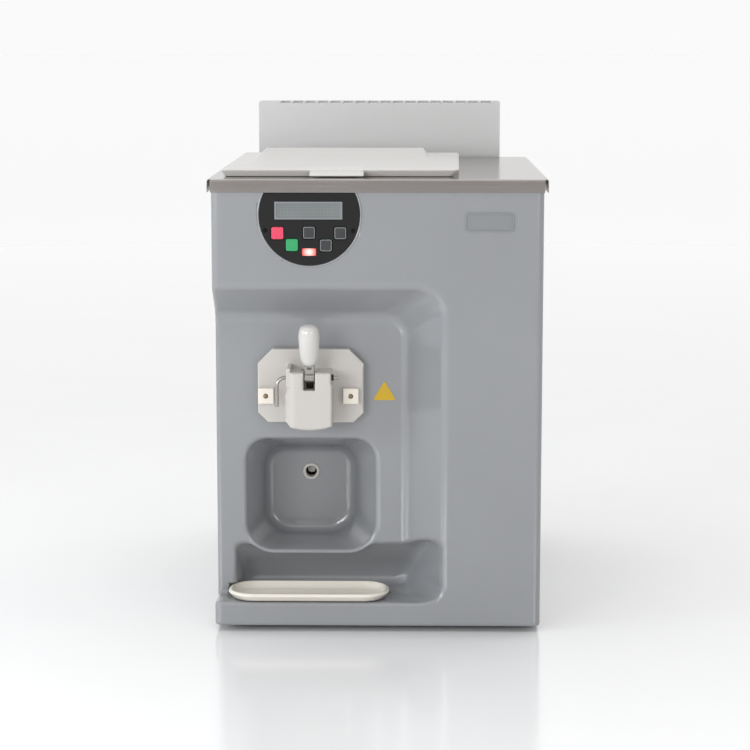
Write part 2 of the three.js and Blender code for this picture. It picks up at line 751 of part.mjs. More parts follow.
const lcdDisplay = () => box(LCD.left, LCD.right, 0.4, 8.6, LCD.bottom, LCD.top);

function keyCap([x, z]) {
  const half = KEY.size / 2;
  const shape = roundedRectangle(x - half, x + half, z - half, z + half, 2.5);
  return prismY(shape, KEY.front, KEY.rear, 2);
}

function statusIndicator() {
  const { x, z, width, height } = INDICATOR;
  return box(x - width / 2, x + width / 2, -0.4, 2.6, z - height / 2, z + height / 2);
}

// ---- Dispensing head ----------------------------------------------------------------------

function dispensingHead() {
  const { x, z, width, height, back, front } = HEAD;
  const plate = prismY(
    chamferedRectangle(x - width / 2, x + width / 2, z - height / 2, z + height / 2, 12, 17),
    front, back,
  );
  const half = SPIGOT.width / 2;
  const block = prism(
    roundedRectangle(x - half, x + half, SPIGOT.front, front + 1, 5), 'z', SPIGOT.bottom, SPIGOT.top, 3,
  );
  const plug = rod(BARREL.inner - 0.6, 'y', back - 1, 62, [x, 0, z], 24);
  const sealGroove = cut(
    rod(40, 'y', 53, 57, [x, 0, z], 24),
    rod(BARREL.inner - 4.3, 'y', 52, 58, [x, 0, z], 24),
  );
  const bore = rod(PISTON.radius + 0.5, 'z', SPIGOT.bottom - 5, SPIGOT.top + 5, [x, PISTON.y, 0], 20);
  const nozzleSeat = rod(14.6, 'z', SPIGOT.bottom - 5, SPIGOT.bottom + 3, [x, PISTON.y, 0], 20);
  const slot = box(x - 7, x + 7, SPIGOT.front - 5, PISTON.y, 294.6, SPIGOT.top + 5);
  const port = rod(7, 'y', PISTON.y, 70, [x, 0, 272], 16);
  const pinHole = rod(PIN.radius + 0.4, 'x', -60, 60, [x, PIN.y, PIN.z], 8);
  const studHoles = [STUD.left, STUD.right].map((at) =>
    rod(STUD.radius + 0.5, 'y', front - 5, back + 5, [at, 0, STUD.z]),
  );
  return cut(
    join(plate, block, plug), sealGroove, bore, nozzleSeat, slot, port, pinHole, ...studHoles,
  );
}

// An O-ring of round section.
function oRing(radius, section, axis, along, centre) {
  const sides = 6;
  const profile = Array.from({ length: sides }, (_, i) => {
    const angle = (i / sides) * 2 * Math.PI;
    return [radius + section * Math.cos(angle), along + section * Math.sin(angle)];
  });
  profile.push(profile[0]);
  return turned(profile, axis, centre, 20);
}

const headSeal = () => oRing(35.7, 1.6, 'y', 55, [HEAD.x, 0, HEAD.z]);

const RING_PLACES = { piston_ring_lower: 260, piston_ring_upper: 283 };

function spigotPiston() {
  const centre = [HEAD.x, PISTON.y, 0];
  const profile = [[0, PISTON.bottom], [PISTON.radius, PISTON.bottom]];
  for (const z of Object.values(RING_PLACES)) {
    profile.push([PISTON.radius, z - 1.8], [8.2, z - 1.8], [8.2, z + 1.8], [PISTON.radius, z + 1.8]);
  }
  profile.push([PISTON.radius, 306], [PISTON.radius - 2, 308], [0, 308]);
  // The pocket flares towards the front, so the arm can swing while the piston rises with its tip.
  const tipZ = PIN.z - ARM.reach * Math.sin(ARM.drop);
  const flare = new THREE.Shape([
    new THREE.Vector2(PISTON.y - 13, tipZ - 11.5),
    new THREE.Vector2(PISTON.y, tipZ - 5),
    new THREE.Vector2(PISTON.y + 8, tipZ - 5),
    new THREE.Vector2(PISTON.y + 8, tipZ + 5),
    new THREE.Vector2(PISTON.y, tipZ + 5),
    new THREE.Vector2(PISTON.y - 13, tipZ + 12.5),
  ]);
  const pocket = prism(flare, 'x', HEAD.x - 4.6, HEAD.x + 4.6);
  return cut(turned(profile, 'z', centre, 20), pocket);
}

const pistonRing = (z) => oRing(9.7, 1.3, 'z', z, [HEAD.x, PISTON.y, 0]);

// Outlet nozzle with a six-pointed star bore.
function starNozzle() {
  const star = new THREE.Shape(
    Array.from({ length: 12 }, (_, i) => {
      const angle = (i * Math.PI) / 6;
      const radius = i % 2 ? 5 : 9;
      return new THREE.Vector2(radius * Math.cos(angle), radius * Math.sin(angle));
    }),
  );
  const profile = [[0, 244.5], [12, 244.5], [14.2, 248], [14.2, 251.6], [0, 251.6]];
  const body = turned(profile, 'z', [HEAD.x, PISTON.y, 0], 20);
  const hole = new THREE.ExtrudeGeometry(star, { depth: 12, bevelEnabled: false });
  hole.translate(HEAD.x, PISTON.y, 242);
  return cut(body, solid(hole));
}

// Places a geometry that is drawn upright about the pivot pin on the leaning lever.
function onLever(geometry) {
  geometry.rotateX(LEVER_LEAN);
  geometry.translate(HEAD.x, PIN.y, PIN.z);
  return solid(geometry);
}

function lever() {
  const hub = new THREE.CylinderGeometry(6.5, 6.5, 12.6, 20);
  hub.rotateZ(Math.PI / 2);
  const shank = new THREE.BoxGeometry(12.6, 6, 17);
  shank.translate(0, 0, 8.2);
  const tang = new THREE.CylinderGeometry(4, 4, 26, 12);
  tang.rotateX(Math.PI / 2);
  tang.translate(0, 0, 28);
  const arm = new THREE.BoxGeometry(7.6, ARM.reach, 5);
  arm.translate(0, ARM.reach / 2, 0);
  const tip = new THREE.CylinderGeometry(3.3, 3.3, 7.6, 14);
  tip.rotateZ(Math.PI / 2);
  tip.translate(0, ARM.reach, 0);
  const lifting = [arm, tip].map((geometry) => {
    geometry.rotateX(-ARM.drop);
    geometry.translate(HEAD.x, PIN.y, PIN.z);
    return solid(geometry);
  });
  const body = join(onLever(hub), onLever(shank), onLever(tang), ...lifting);
  return cut(body, rod(PIN.radius + 0.4, 'x', -20, 20, [HEAD.x, PIN.y, PIN.z], 8));
}

function leverKnob() {
  const profile = [
    [4.3, 42], [4.3, 17], [9, 17], [11.5, 36], [12.9, 52], [12.4, 58], [10, 63], [5.6, 66], [0, 67],
    [0, 42], [4.3, 42],
  ];
  const points = profile.map(([radius, along]) => new THREE.Vector2(radius, along));
  const knob = new THREE.LatheGeometry(points, 24);
  knob.rotateX(Math.PI / 2);
  return onLever(knob);
}

// Bent steel pin: straight through the head and turned down at its free end for a finger.
function pivotPin() {
  const straight = [-50, -60, -75, -90, -105].map((x) => [x, PIN.y, PIN.z]);
  const bend = [[-114, PIN.y, 308], [-120, PIN.y, 302]];
  const grip = [[-122, PIN.y, 293], [-122, PIN.y, 283], [-122, PIN.y, 273]];
  return tube([...straight, ...bend, ...grip], PIN.radius, 22);
}

function fixingNut(x) {
  const half = 9.5;
  const body = prismY(
    roundedRectangle(x - half, x + half, STUD.z - half, STUD.z + half, 2), 23, HEAD.front - GAP, 2,
  );
  return cut(body, rod(STUD.radius + 0.5, 'y', 20, 40, [x, 0, STUD.z]));
}

const headStud = (x) => rod(STUD.radius, 'y', 22, 52.7, [x, 0, STUD.z]);

// ---- Drip dish and drain ------------------------------------------------------------------

function dripDish() {
  const { x, y, length, depth, radius, height } = DISH;
  const floor = RECESS.floor + GAP;
  const section = (inset, z) =>
    roundedRing(
      x - length / 2 + inset, x + length / 2 - inset, y - depth / 2 + inset, y + depth / 2 - inset,
      radius - inset, atZ(z), 5,
    );
  const outer = loft([section(6, floor), section(0.6, floor + 5), section(0, floor + height)]);
  const bowl = loft([section(8.5, floor + 2.4), section(3.6, floor + height + 0.1)]);
  return cut(outer, bowl);
}

function drainFerrule() {
  const { back } = CUP;
  const profile = [
    [7.2, back - 2.2], [10.8, back - 2.2], [10.8, back - GAP], [8.7, back - GAP], [8.7, back + 12],
    [7.2, back + 12], [7.2, back - 2.2],
  ];
  return turned(profile, 'y', [DRAIN.x, 0, DRAIN.z], 16);
}

// Leak-off tube from under the rear shaft seal to the ferrule.
const drainTube = () =>
  tube(
    [[DRAIN.x, 158, 166], [DRAIN.x, 172, 172], [DRAIN.x, 205, 196], [DRAIN.x, 262, 208],
      [DRAIN.x, 320, 214], [DRAIN.x, 337, 226], [DRAIN.x, 339, 250], [DRAIN.x, 339, 277]],
    5, 16,
  );

// ---- Assembly -----------------------------------------------------------------------------

const machine = new THREE.Group();
machine.name = 'soft_serve_machine';

function add(name, made, material) {
  const mesh = new THREE.Mesh(geometryOf(made), material);
  mesh.name = name;
  machine.add(mesh);
}

add('front_panel', frontPanel(), FINISH.body);
add('recess_liner', recessLiner(), FINISH.body);
add('niche_liner', nicheLiner(), FINISH.body);
add('left_side_panel', sidePanel(-1), FINISH.body);
add('right_side_panel', sidePanel(1), FINISH.body);
add('rear_panel', rearPanel(), FINISH.galvanised);
add('base_tray', baseTray(), FINISH.galvanised);
for (const [name, place] of Object.entries(FEET)) add(name, foot(place), FINISH.rubber);
add('top_cover', topCover(), FINISH.steel);
add('rear_air_duct', rearAirDuct(), FINISH.duct);
add('power_inlet', powerInlet(), FINISH.rubber);

add('hopper_lid', hopperLid(), FINISH.white);
add('hopper_tank', hopperTank(), FINISH.steel);
add('feed_tube', feedTube(), FINISH.white);

add('freezing_cylinder', freezingCylinder(), FINISH.steel);
add('cylinder_insulation', cylinderInsulation(), FINISH.foam);
add('beater', beater(), FINISH.steel);
add('shaft_seal', shaftSeal(), FINISH.rubber);
add('bearing_housing', bearingHousing(), FINISH.aluminium);
add('drive_bulkhead', driveBulkhead(), FINISH.galvanised);
add('driven_pulley', drivenPulley(), FINISH.aluminium);
add('motor_pulley', motorPulley(), FINISH.steel);
add('drive_belt', driveBelt(), FINISH.rubber);
add('drive_motor', driveMotor(), FINISH.aluminium);

add('compressor', compressor(), FINISH.castIron);
add('discharge_line', dischargeLine(), FINISH.copper);
add('suction_line', suctionLine(), FINISH.copper);
add('condenser', condenser(), FINISH.aluminium);
add('fan_shroud', fanShroud(), FINISH.galvanised);
add('fan_blade', fanBlade(), FINISH.black);
add('fan_motor', fanMotor(), FINISH.castIron);

add('electrical_box', electricalBox(), FINISH.galvanised);
add('control_board', controlBoard(), FINISH.board);
add('control_overlay', controlOverlay(), FINISH.black);
add('lcd_display', lcdDisplay(), FINISH.screen);
const KEY_FINISH = { key_standby: FINISH.red, key_produce: FINISH.green };
for (const [name, place] of Object.entries(KEYS)) {
  add(name, keyCap(place), KEY_FINISH[name] ?? FINISH.grey);
}
add('status_indicator', statusIndicator(), FINISH.red);

add('dispensing_head', dispensingHead(), FINISH.white);
add('head_seal', headSeal(), FINISH.rubber);
add('spigot_piston', spigotPiston(), FINISH.white);
for (const [name, z] of Object.entries(RING_PLACES)) add(name, pistonRing(z), FINISH.rubber);
add('star_nozzle', starNozzle(), FINISH.white);
add('lever', lever(), FINISH.steel);
add('lever_knob', leverKnob(), FINISH.white);
add('pivot_pin', pivotPin(), FINISH.steel);
for (const side of ['left', 'right']) {
  add(`fixing_nut_${side}`, fixingNut(STUD[side]), FINISH.cream);
  add(`head_stud_${side}`, headStud(STUD[side]), FINISH.steel);
}

add('drip_dish', dripDish(), FINISH.cream);
add('drain_ferrule', drainFerrule(), FINISH.white);
add('drain_tube', drainTube(), FINISH.white);

// The feet stand on z = 0, and the footprint is centred on the origin.
machine.position.set(0, -MIDDLE_DEPTH, FOOT_HEIGHT);

export default machine;
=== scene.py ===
"""Countertop soft-serve machine: the visible skins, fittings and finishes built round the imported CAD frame.

Shapes are written in body millimetres: x from the centreline, y behind the front face, z above the body's
underside. at() turns them into metres in the part's frame.
"""
import json
import math

import bmesh
import bpy
import numpy as np
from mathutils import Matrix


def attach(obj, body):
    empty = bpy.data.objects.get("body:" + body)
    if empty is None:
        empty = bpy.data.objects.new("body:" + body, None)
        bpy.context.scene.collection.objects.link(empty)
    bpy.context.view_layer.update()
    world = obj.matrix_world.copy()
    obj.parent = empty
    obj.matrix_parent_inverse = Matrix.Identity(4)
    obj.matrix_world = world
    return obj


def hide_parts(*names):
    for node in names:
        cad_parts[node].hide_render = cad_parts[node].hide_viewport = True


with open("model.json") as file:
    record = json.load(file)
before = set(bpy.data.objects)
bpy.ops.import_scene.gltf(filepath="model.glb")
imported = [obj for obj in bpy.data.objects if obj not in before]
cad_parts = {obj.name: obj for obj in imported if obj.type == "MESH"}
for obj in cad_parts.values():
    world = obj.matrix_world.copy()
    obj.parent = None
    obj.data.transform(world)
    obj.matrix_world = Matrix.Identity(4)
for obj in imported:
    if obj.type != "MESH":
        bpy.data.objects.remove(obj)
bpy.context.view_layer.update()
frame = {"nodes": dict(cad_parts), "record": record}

import openvdb
from mathutils import Matrix, Vector

MIDDLE_DEPTH = 285.0
FOOT_HEIGHT = 7.0
HALF_WIDTH = 200.0
BODY_TOP = 546.7
REAR = 531.7

# Points in the front plane are (x, z), the pivot's are (y, z) and the dish's are (x, y).
DISC = (-81.5, 506.0)
HEAD = (-82.2, 294.0)
STUDS = {"left": -136.8, "right": -32.8}
STUD_HEIGHT = 282.6
SPIGOT_DEPTH = 21.05
PIVOT = (2.0, 309.0)
LEVER_LEAN = math.radians(12)
DRAIN = (-87.0, 166.0)
DISH = (-85.5, 36.0)
GLAND = (-140.0, 31.0)


# ---- Places

def at(x, y, z):
    """Body millimetres to metres in the part's frame."""
    return Vector((x / 1000, (y - MIDDLE_DEPTH) / 1000, (z + FOOT_HEIGHT) / 1000))


def at_all(points):
    """Many body points at once."""
    shift = np.array([0.0, -MIDDLE_DEPTH, FOOT_HEIGHT])
    return (np.asarray(points, float) + shift) / 1000


# ---- Materials

def srgb(red, green, blue):
    """A colour of 0-255 screen values as linear light."""
    def linear(value):
        value /= 255
        return value / 12.92 if value <= 0.04045 else ((value + 0.055) / 1.055) ** 2.4
    return (linear(red), linear(green), linear(blue), 1.0)


class Finish:
    """A procedural material, built up from layers of noise in the piece's own coordinates."""

    def __init__(self, name, **sockets):
        self.material = bpy.data.materials.new(name)
        self.material.use_nodes = True
        self.tree = self.material.node_tree
        self.shader = self.tree.nodes["Principled BSDF"]
        self.place = self.tree.nodes.new("ShaderNodeTexCoord")
        self.bump = None
        for socket, value in sockets.items():
            self.shader.inputs[socket.replace("_", " ")].default_value = value

    def link(self, source, target):
        self.tree.links.new(source, target)

    def node(self, kind, **values):
        """A new shader node with some of its inputs set."""
        made = self.tree.nodes.new("ShaderNode" + kind)
        for socket, value in values.items():
            made.inputs[socket.replace("_", " ")].default_value = value
        return made

    def noise(self, scale, stretch=(1, 1, 1), detail=3.0, roughness=0.5):
        mapping = self.node("Mapping", Scale=stretch)
        self.link(self.place.outputs["Object"], mapping.inputs["Vector"])
        noise = self.node("TexNoise", Scale=scale, Detail=detail, Roughness=roughness)
        self.link(mapping.outputs["Vector"], noise.inputs["Vector"])
        return noise.outputs["Fac"]

    def spread(self, value, low, high, from_low=0.3, from_high=0.7):
        node = self.node("MapRange", From_Min=from_low, From_Max=from_high, To_Min=low, To_Max=high)
        self.link(value, node.inputs["Value"])
        return node.outputs["Result"]

    def ramp(self, value, stops):
        node = self.node("ValToRGB")
        elements = node.color_ramp.elements
        while len(elements) < len(stops):
            elements.new(0.5)
        for element, (position, colour) in zip(elements, stops):
            element.position = position
            element.color = colour
        self.link(value, node.inputs["Fac"])
        return node.outputs["Color"]

    def mix(self, value, first, second):
        node = self.node("Mix")
        node.data_type = "RGBA"
        self.link(value, node.inputs["Factor"])
        for colour, socket in zip((first, second), node.inputs[6:8]):
            if isinstance(colour, tuple):
                socket.default_value = colour
            else:
                self.link(colour, socket)
        return node.outputs[2]

    def maths(self, operation, first, second=None):
        node = self.node("Math")
        node.operation = operation
        self.link(first, node.inputs[0])
        if isinstance(second, float):
            node.inputs[1].default_value = second
        elif second is not None:
            self.link(second, node.inputs[1])
        return node.outputs["Value"]

    def colour(self, source):
        self.link(source, self.shader.inputs["Base Color"])

    def rough(self, source):
        self.link(source, self.shader.inputs["Roughness"])

    def relief(self, height, depth):
        node = self.node("Bump", Distance=depth, Strength=1.0)
        self.link(height, node.inputs["Height"])
        if self.bump:
            self.link(self.bump.outputs["Normal"], node.inputs["Normal"])
        self.bump = node
        self.link(node.outputs["Normal"], self.shader.inputs["Normal"])


def shade(colour, factor):
    return (*(part * factor for part in colour[:3]), 1.0)


def moulded(name, colour, rough, drift=0.06, relief=2e-5, peel=260, coat=0.0):
    """Moulded or painted surface: slow colour drift, fine orange peel and an uneven gloss."""
    finish = Finish(name, Coat_Weight=coat, Coat_Roughness=0.06)
    slow = finish.noise(7, detail=2)
    fine = finish.noise(900, detail=2)
    blotch = finish.spread(slow, 0.0, 1.0)
    speck = finish.mix(
        finish.spread(fine, 0.0, 1.0), shade(colour, 1 - drift * 0.5), shade(colour, 1 + drift * 0.5))
    finish.colour(finish.mix(blotch, speck, shade(colour, 1 + drift)))
    finish.rough(finish.spread(finish.noise(60, detail=5), rough * 0.93, rough * 1.09))
    finish.relief(finish.noise(peel, detail=2), relief)
    return finish.material


def brushed(name, colour, rough, along="x", depth=1.2e-5, lines=900, anisotropy=0.4, contrast=0.12):
    """Brushed metal: fine lines along one axis, uneven polish and faint smudges."""
    finish = Finish(name, Metallic=1.0, Anisotropic=anisotropy)
    stretch = {"x": (0.012, 1, 1), "y": (1, 0.012, 1), "z": (1, 1, 0.012)}[along]
    grain = finish.noise(lines, stretch, detail=3, roughness=0.6)
    smudge = finish.noise(14, detail=4)
    toned = finish.mix(
        finish.spread(grain, 0.0, 1.0), shade(colour, 1 - contrast), shade(colour, 1 + contrast * 0.4))
    finish.colour(finish.mix(finish.spread(smudge, 0.0, 0.3), toned, shade(colour, 0.93)))
    finish.rough(finish.spread(grain, rough * 0.75, rough * 1.3))
    finish.relief(grain, depth)
    return finish.material


def coarse_metal(name, colour, rough, scale=90, depth=3e-5):
    """Cast, galvanised or drawn metal with a mottled grain."""
    finish = Finish(name, Metallic=0.9)
    cells = finish.node("TexVoronoi", Scale=scale)
    finish.link(finish.place.outputs["Object"], cells.inputs["Vector"])
    toned = finish.mix(
        finish.spread(cells.outputs["Distance"], 0.0, 1.0, 0.0, 0.8), shade(colour, 0.82), shade(colour, 1.1))
    finish.colour(finish.mix(finish.spread(finish.noise(12, detail=4), 0.0, 0.4), toned, shade(colour, 0.7)))
    finish.rough(finish.spread(finish.noise(40, detail=4), rough * 0.8, rough * 1.25))
    finish.relief(finish.noise(scale * 6, detail=3), depth)
    return finish.material


BODY = srgb(138, 140, 143)
MATERIALS = {
    "body_plastic": moulded("moulded_blue_grey", BODY, 0.2, drift=0.04, relief=1.2e-5, coat=0.5),
    "body_paint": moulded("painted_blue_grey", BODY, 0.3, drift=0.03, relief=1.5e-5, peel=400, coat=0.2),
    "galvanised_sheet": coarse_metal("galvanised", srgb(176, 178, 180), 0.42, 60),
    "rubber_black": moulded("black_rubber", srgb(34, 34, 35), 0.7, drift=0.3, relief=6e-5, peel=500),
    "brushed_cover": brushed(
        "brushed_steel_cover", srgb(166, 160, 157), 0.17, "x", depth=4e-6, anisotropy=0.0, contrast=0.07),
    "duct_grey": moulded("powder_coat_grey", srgb(200, 200, 200), 0.5, drift=0.03, relief=4e-5, peel=900),
    "lid_white": moulded("lid_white", srgb(210, 208, 205), 0.35, drift=0.03, relief=2.5e-5, peel=420),
    "brushed_steel": brushed("brushed_steel", srgb(190, 190, 188), 0.28, "y"),
    "acetal_white": moulded("white_acetal", srgb(190, 186, 182), 0.38, drift=0.03, relief=2e-5, peel=350),
    "foam": moulded("insulation_foam", srgb(214, 204, 160), 0.9, drift=0.25, relief=3e-4, peel=320),
    "cast_aluminium": coarse_metal("cast_aluminium", srgb(170, 173, 176), 0.45, 300, 5e-5),
    "steel_bright": brushed("turned_steel", srgb(168, 166, 162), 0.25, "z", lines=1500, contrast=0.2),
    "compressor_black": moulded("black_enamel", srgb(30, 31, 33), 0.35, drift=0.3, relief=4e-5, peel=240),
    "copper": coarse_metal("copper", srgb(196, 122, 78), 0.3, 120),
    "fan_black": moulded("black_nylon", srgb(26, 27, 28), 0.5, drift=0.3, relief=3e-5),
    "board_green": moulded("green_board", srgb(46, 104, 60), 0.5, drift=0.3, relief=4e-5, peel=800),
    "overlay_black": moulded("overlay_black", srgb(13, 13, 14), 0.14, drift=0.12, relief=1e-5, peel=1200),
    "key_red": moulded("key_red", srgb(212, 62, 92), 0.35, drift=0.1, relief=2e-5, peel=900),
    "key_green": moulded("key_green", srgb(38, 150, 92), 0.35, drift=0.12, relief=2e-5, peel=900),
    "key_grey": moulded("key_black", srgb(45, 46, 48), 0.35, drift=0.15, relief=2e-5, peel=900),
    "blackened": coarse_metal("blackened_screw", srgb(30, 30, 31), 0.4, 700, 2e-5),
    "brass": coarse_metal("dull_brass", srgb(134, 118, 92), 0.4, 500, 3e-5),
    "badge_grey": moulded("badge_grey", srgb(128, 131, 134), 0.3, drift=0.08, relief=2e-5, peel=500),
    "sticker_yellow": moulded("sticker_yellow", srgb(196, 160, 30), 0.3, drift=0.08, relief=1e-5, peel=900),
    "knob_white": moulded("knob_white", srgb(200, 198, 195), 0.14, drift=0.02, relief=8e-6, coat=0.4),
    "nut_cream": moulded("nut_cream", srgb(224, 217, 206), 0.4, drift=0.04, relief=2e-5, peel=400),
    "dish_cream": moulded("dish_cream", srgb(226, 220, 209), 0.2, drift=0.03, relief=1e-5, coat=0.3),
    "tube_clear": moulded("clear_tube", srgb(214, 216, 214), 0.3, drift=0.05, relief=2e-5),
}


def lit_window():
    """Liquid crystal glass with a fine grid of cells."""
    finish = Finish("liquid_crystal")
    parts = finish.node("SeparateXYZ")
    finish.link(finish.place.outputs["Object"], parts.inputs["Vector"])
    radians_per_metre = 1700.0
    turns = [finish.maths("MULTIPLY", parts.outputs[axis], radians_per_metre) for axis in "XZ"]
    crossed = finish.maths("MAXIMUM", *(finish.maths("SINE", turn) for turn in turns))
    grid = finish.spread(crossed, 0.0, 0.35, 0.6, 1.0)
    glass = finish.mix(
        finish.spread(finish.noise(30), 0.0, 1.0), srgb(112, 118, 118), srgb(122, 128, 128))
    finish.colour(finish.mix(grid, glass, srgb(98, 104, 105)))
    finish.rough(finish.spread(finish.noise(80), 0.1, 0.2))
    return finish.material


def lit_lens():
    """Red indicator lens, brightest along its middle, where the lamp is."""
    finish = Finish("lit_lens", Roughness=0.25)
    glow = finish.node("VectorMath")
    glow.operation = "DISTANCE"
    glow.inputs[1].default_value = at(-82, 0, 461.6)
    finish.link(finish.place.outputs["Object"], glow.inputs[0])
    tone = finish.ramp(
        finish.spread(glow.outputs["Value"], 0.0, 1.0, 0.0, 0.009),
        [(0.0, srgb(255, 236, 228)), (0.45, srgb(250, 170, 160)), (1.0, srgb(206, 40, 44))],
    )
    finish.colour(tone)
    finish.link(tone, finish.shader.inputs["Emission Color"])
    finish.shader.inputs["Emission Strength"].default_value = 0.35
    finish.relief(finish.noise(900), 2e-5)
    return finish.material


MATERIALS["lcd_window"] = lit_window()
MATERIALS["indicator_red"] = lit_lens()


# ---- Pieces

def add_object(name, data):
    """A new object in the scene, round a mesh, curve, camera or light."""
    made = bpy.data.objects.new(name, data)
    bpy.context.scene.collection.objects.link(made)
    return made


def mesh_piece(
        name, points, faces, slot, body="cabinet", instead_of=(), normals=None, sharp=None, finish=None):
    """A closed mesh in body millimetres as a shown piece."""
    mesh = bpy.data.meshes.new(name)
    mesh.from_pydata([tuple(p) for p in at_all(points)], [], [tuple(f) for f in faces])
    mesh.validate()
    piece = add_object(name, mesh)
    mesh.materials.append(MATERIALS[finish or slot])
    mesh.shade_smooth()
    if sharp is not None:
        mesh.set_sharp_from_angle(angle=math.radians(sharp))
    if normals is not None:
        mesh.normals_split_custom_set_from_vertices([tuple(n) for n in normals])
    if instead_of:
        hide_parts(*instead_of)
    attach(piece, body)
    return piece


def apply_modifiers(piece):
    """Bakes a piece's modifiers into its mesh."""
    graph = bpy.context.evaluated_depsgraph_get()
    made = bpy.data.meshes.new_from_object(piece.evaluated_get(graph), depsgraph=graph)
    piece.modifiers.clear()
    piece.data = made


def face_outwards(piece, merge=0.0):
    """Points a piece's faces outwards, after merging points closer than merge, in metres."""
    mesh = bmesh.new()
    mesh.from_mesh(piece.data)
    if merge:
        bmesh.ops.remove_doubles(mesh, verts=mesh.verts, dist=merge)
    bmesh.ops.recalc_face_normals(mesh, faces=mesh.faces)
    mesh.to_mesh(piece.data)
    mesh.free()


def soften(piece, width, segments=3, angle=35):
    """Rounds a piece's edges, with weighted normals so that flats stay flat."""
    bevel = piece.modifiers.new("soften", "BEVEL")
    bevel.width = width / 1000
    bevel.segments = segments
    bevel.limit_method = "ANGLE"
    bevel.angle_limit = math.radians(angle)
    piece.modifiers.new("weigh", "WEIGHTED_NORMAL").keep_sharp = True
    apply_modifiers(piece)
    return piece


# Signed distances: negative inside. A rounded join of two fields leaves a fillet of that radius.

def round_max(a, b, radius):
    u = np.maximum(a + radius, 0)
    v = np.maximum(b + radius, 0)
    return np.minimum(np.maximum(a, b), -radius) + np.sqrt(u * u + v * v)


def round_min(a, b, radius):
    return -round_max(-a, -b, radius)


def from_point(u, v, point):
    """Distance to a point of a section."""
    return np.sqrt((u - point[0]) ** 2 + (v - point[1]) ** 2)


def plane(u, v, first, second, inside):
    """Distance to a line through two points of a section, negative on the side of a third point."""
    du, dv = second[0] - first[0], second[1] - first[1]
    length = math.hypot(du, dv)
    side = 1 if (inside[0] - first[0]) * dv - (inside[1] - first[1]) * du < 0 else -1
    return ((u - first[0]) * dv - (v - first[1]) * du) * (side / length)


def field_piece(name, field, low, high, cell, slot, adapt=0.15, **kept):
    """A piece from a signed distance field: meshed, moved onto the surface and given the field's normals."""
    axes = [np.arange(a - 2 * cell, b + 2.5 * cell, cell, dtype=np.float32) for a, b in zip(low, high)]
    x, y, z = np.meshgrid(*axes, indexing="ij", sparse=True)
    values = np.clip(field(x, y, z), -3 * cell, 3 * cell).astype(np.float32)
    grid = openvdb.FloatGrid(3 * cell)
    grid.copyFromArray(values, tolerance=1e-4)
    points, triangles, quads = grid.convertToPolygons(isovalue=0.0, adaptivity=adapt)
    points = points.astype(float) * cell + [axis[0] for axis in axes]
    step = 0.05

    def gradient(p):
        shifts = np.eye(3) * step
        return np.stack(
            [field(*(p + s).T) - field(*(p - s).T) for s in shifts], axis=1) / (2 * step)

    for _ in range(3):
        slope = gradient(points)
        value = field(*points.T)[:, None]
        steps = value * slope / np.maximum((slope * slope).sum(1, keepdims=True), 0.2)
        points -= np.clip(steps, -cell, cell) * 0.9
    slope = gradient(points)
    normals = slope / np.maximum(np.linalg.norm(slope, axis=1, keepdims=True), 1e-9)
    faces = triangles.tolist() + quads.tolist()
    return mesh_piece(name, points, faces, slot, normals=normals, **kept)


# ---- Front moulding

SKIN = 4.0
LIP_RADIUS = 3.4
RECESS_FLOOR = 29.3
RECESS_DEPTH = 48.0
CUP_DEPTH = 145.0
TRAY_DEPTH = 100.0


def serving_recess(x, y, z):
    """The serving recess: sloped right and top walls, flat floor, open to the left."""
    right = plane(x, y, (80, 0), (34, RECESS_DEPTH), (0, 0))
    top = plane(z, y, (418, 0), (380, RECESS_DEPTH), (0, 0))
    walls = round_max(round_max(right, RECESS_FLOOR - z, 21), top, 24)
    face = y - RECESS_DEPTH
    return np.maximum(round_max(walls, face, 5), round_max(top, face, 8))


def cup_niche(x, y, z):
    """Niche for the cup, with four sloped walls."""
    left = plane(x, y, (-163.5, RECESS_DEPTH), (-144, CUP_DEPTH), (0, 48))
    right = plane(x, y, (-2.5, RECESS_DEPTH), (-32, CUP_DEPTH), (-50, 48))
    top = plane(z, y, (226, RECESS_DEPTH), (198, CUP_DEPTH), (100, 48))
    bottom = plane(z, y, (85, RECESS_DEPTH), (88, CUP_DEPTH), (100, 48))
    sides = np.maximum(left, right)
    return round_max(round_max(round_max(sides, top, 25), bottom, 34), y - CUP_DEPTH, 9)


def tray_niche(x, y, z):
    """Low niche behind the dish. Its roof slopes down to the back, and the cup niche's lip hangs in."""
    left = plane(x, y, (-177.5, RECESS_DEPTH), (-166.5, TRAY_DEPTH), (0, 48))
    right = plane(x, y, (80, 0), (36, TRAY_DEPTH), (0, 48))
    rear_roof = plane(z, y, (98, RECESS_DEPTH), (48, TRAY_DEPTH), (0, 48))
    roof = round_max(rear_roof, plane(z, y, (107, 0), (98, RECESS_DEPTH), (0, 0)), 12)
    floor = RECESS_FLOOR - z
    sides = round_max(np.maximum(left, round_max(right, floor, 21)), roof, 9)
    walls = round_max(round_max(sides, y - TRAY_DEPTH, 16), floor, 7)
    return round_max(walls, 5.5 - cup_niche(x, y, z), 6)


def dish_pocket(x, y, z):
    """Shallow pocket in the foot of the recess, round the drip dish."""
    plan = round_max(np.abs(x - DISH[0]) - 101.3, np.abs(y - DISH[1]) - 39.4, 33)
    return np.maximum(plan, np.abs(z - 35.3) - 6.0)


def front_hollows(x, y, z):
    hollow = round_min(serving_recess(x, y, z), cup_niche(x, y, z), 4)
    hollow = round_min(hollow, tray_niche(x, y, z), 4)
    return round_min(hollow, dish_pocket(x, y, z), 1.5)


def disc_pocket(x, y, z):
    """Room for the control overlay, and deeper room for the display behind it."""
    disc = from_point(x, z, DISC) - 61.4
    window = np.maximum(np.abs(x + 82.7) - 41.2, np.abs(z - 511.4) - 11.1)
    return np.minimum(np.maximum(np.maximum(disc, z - 534), y - 3), np.maximum(window, y - 9))


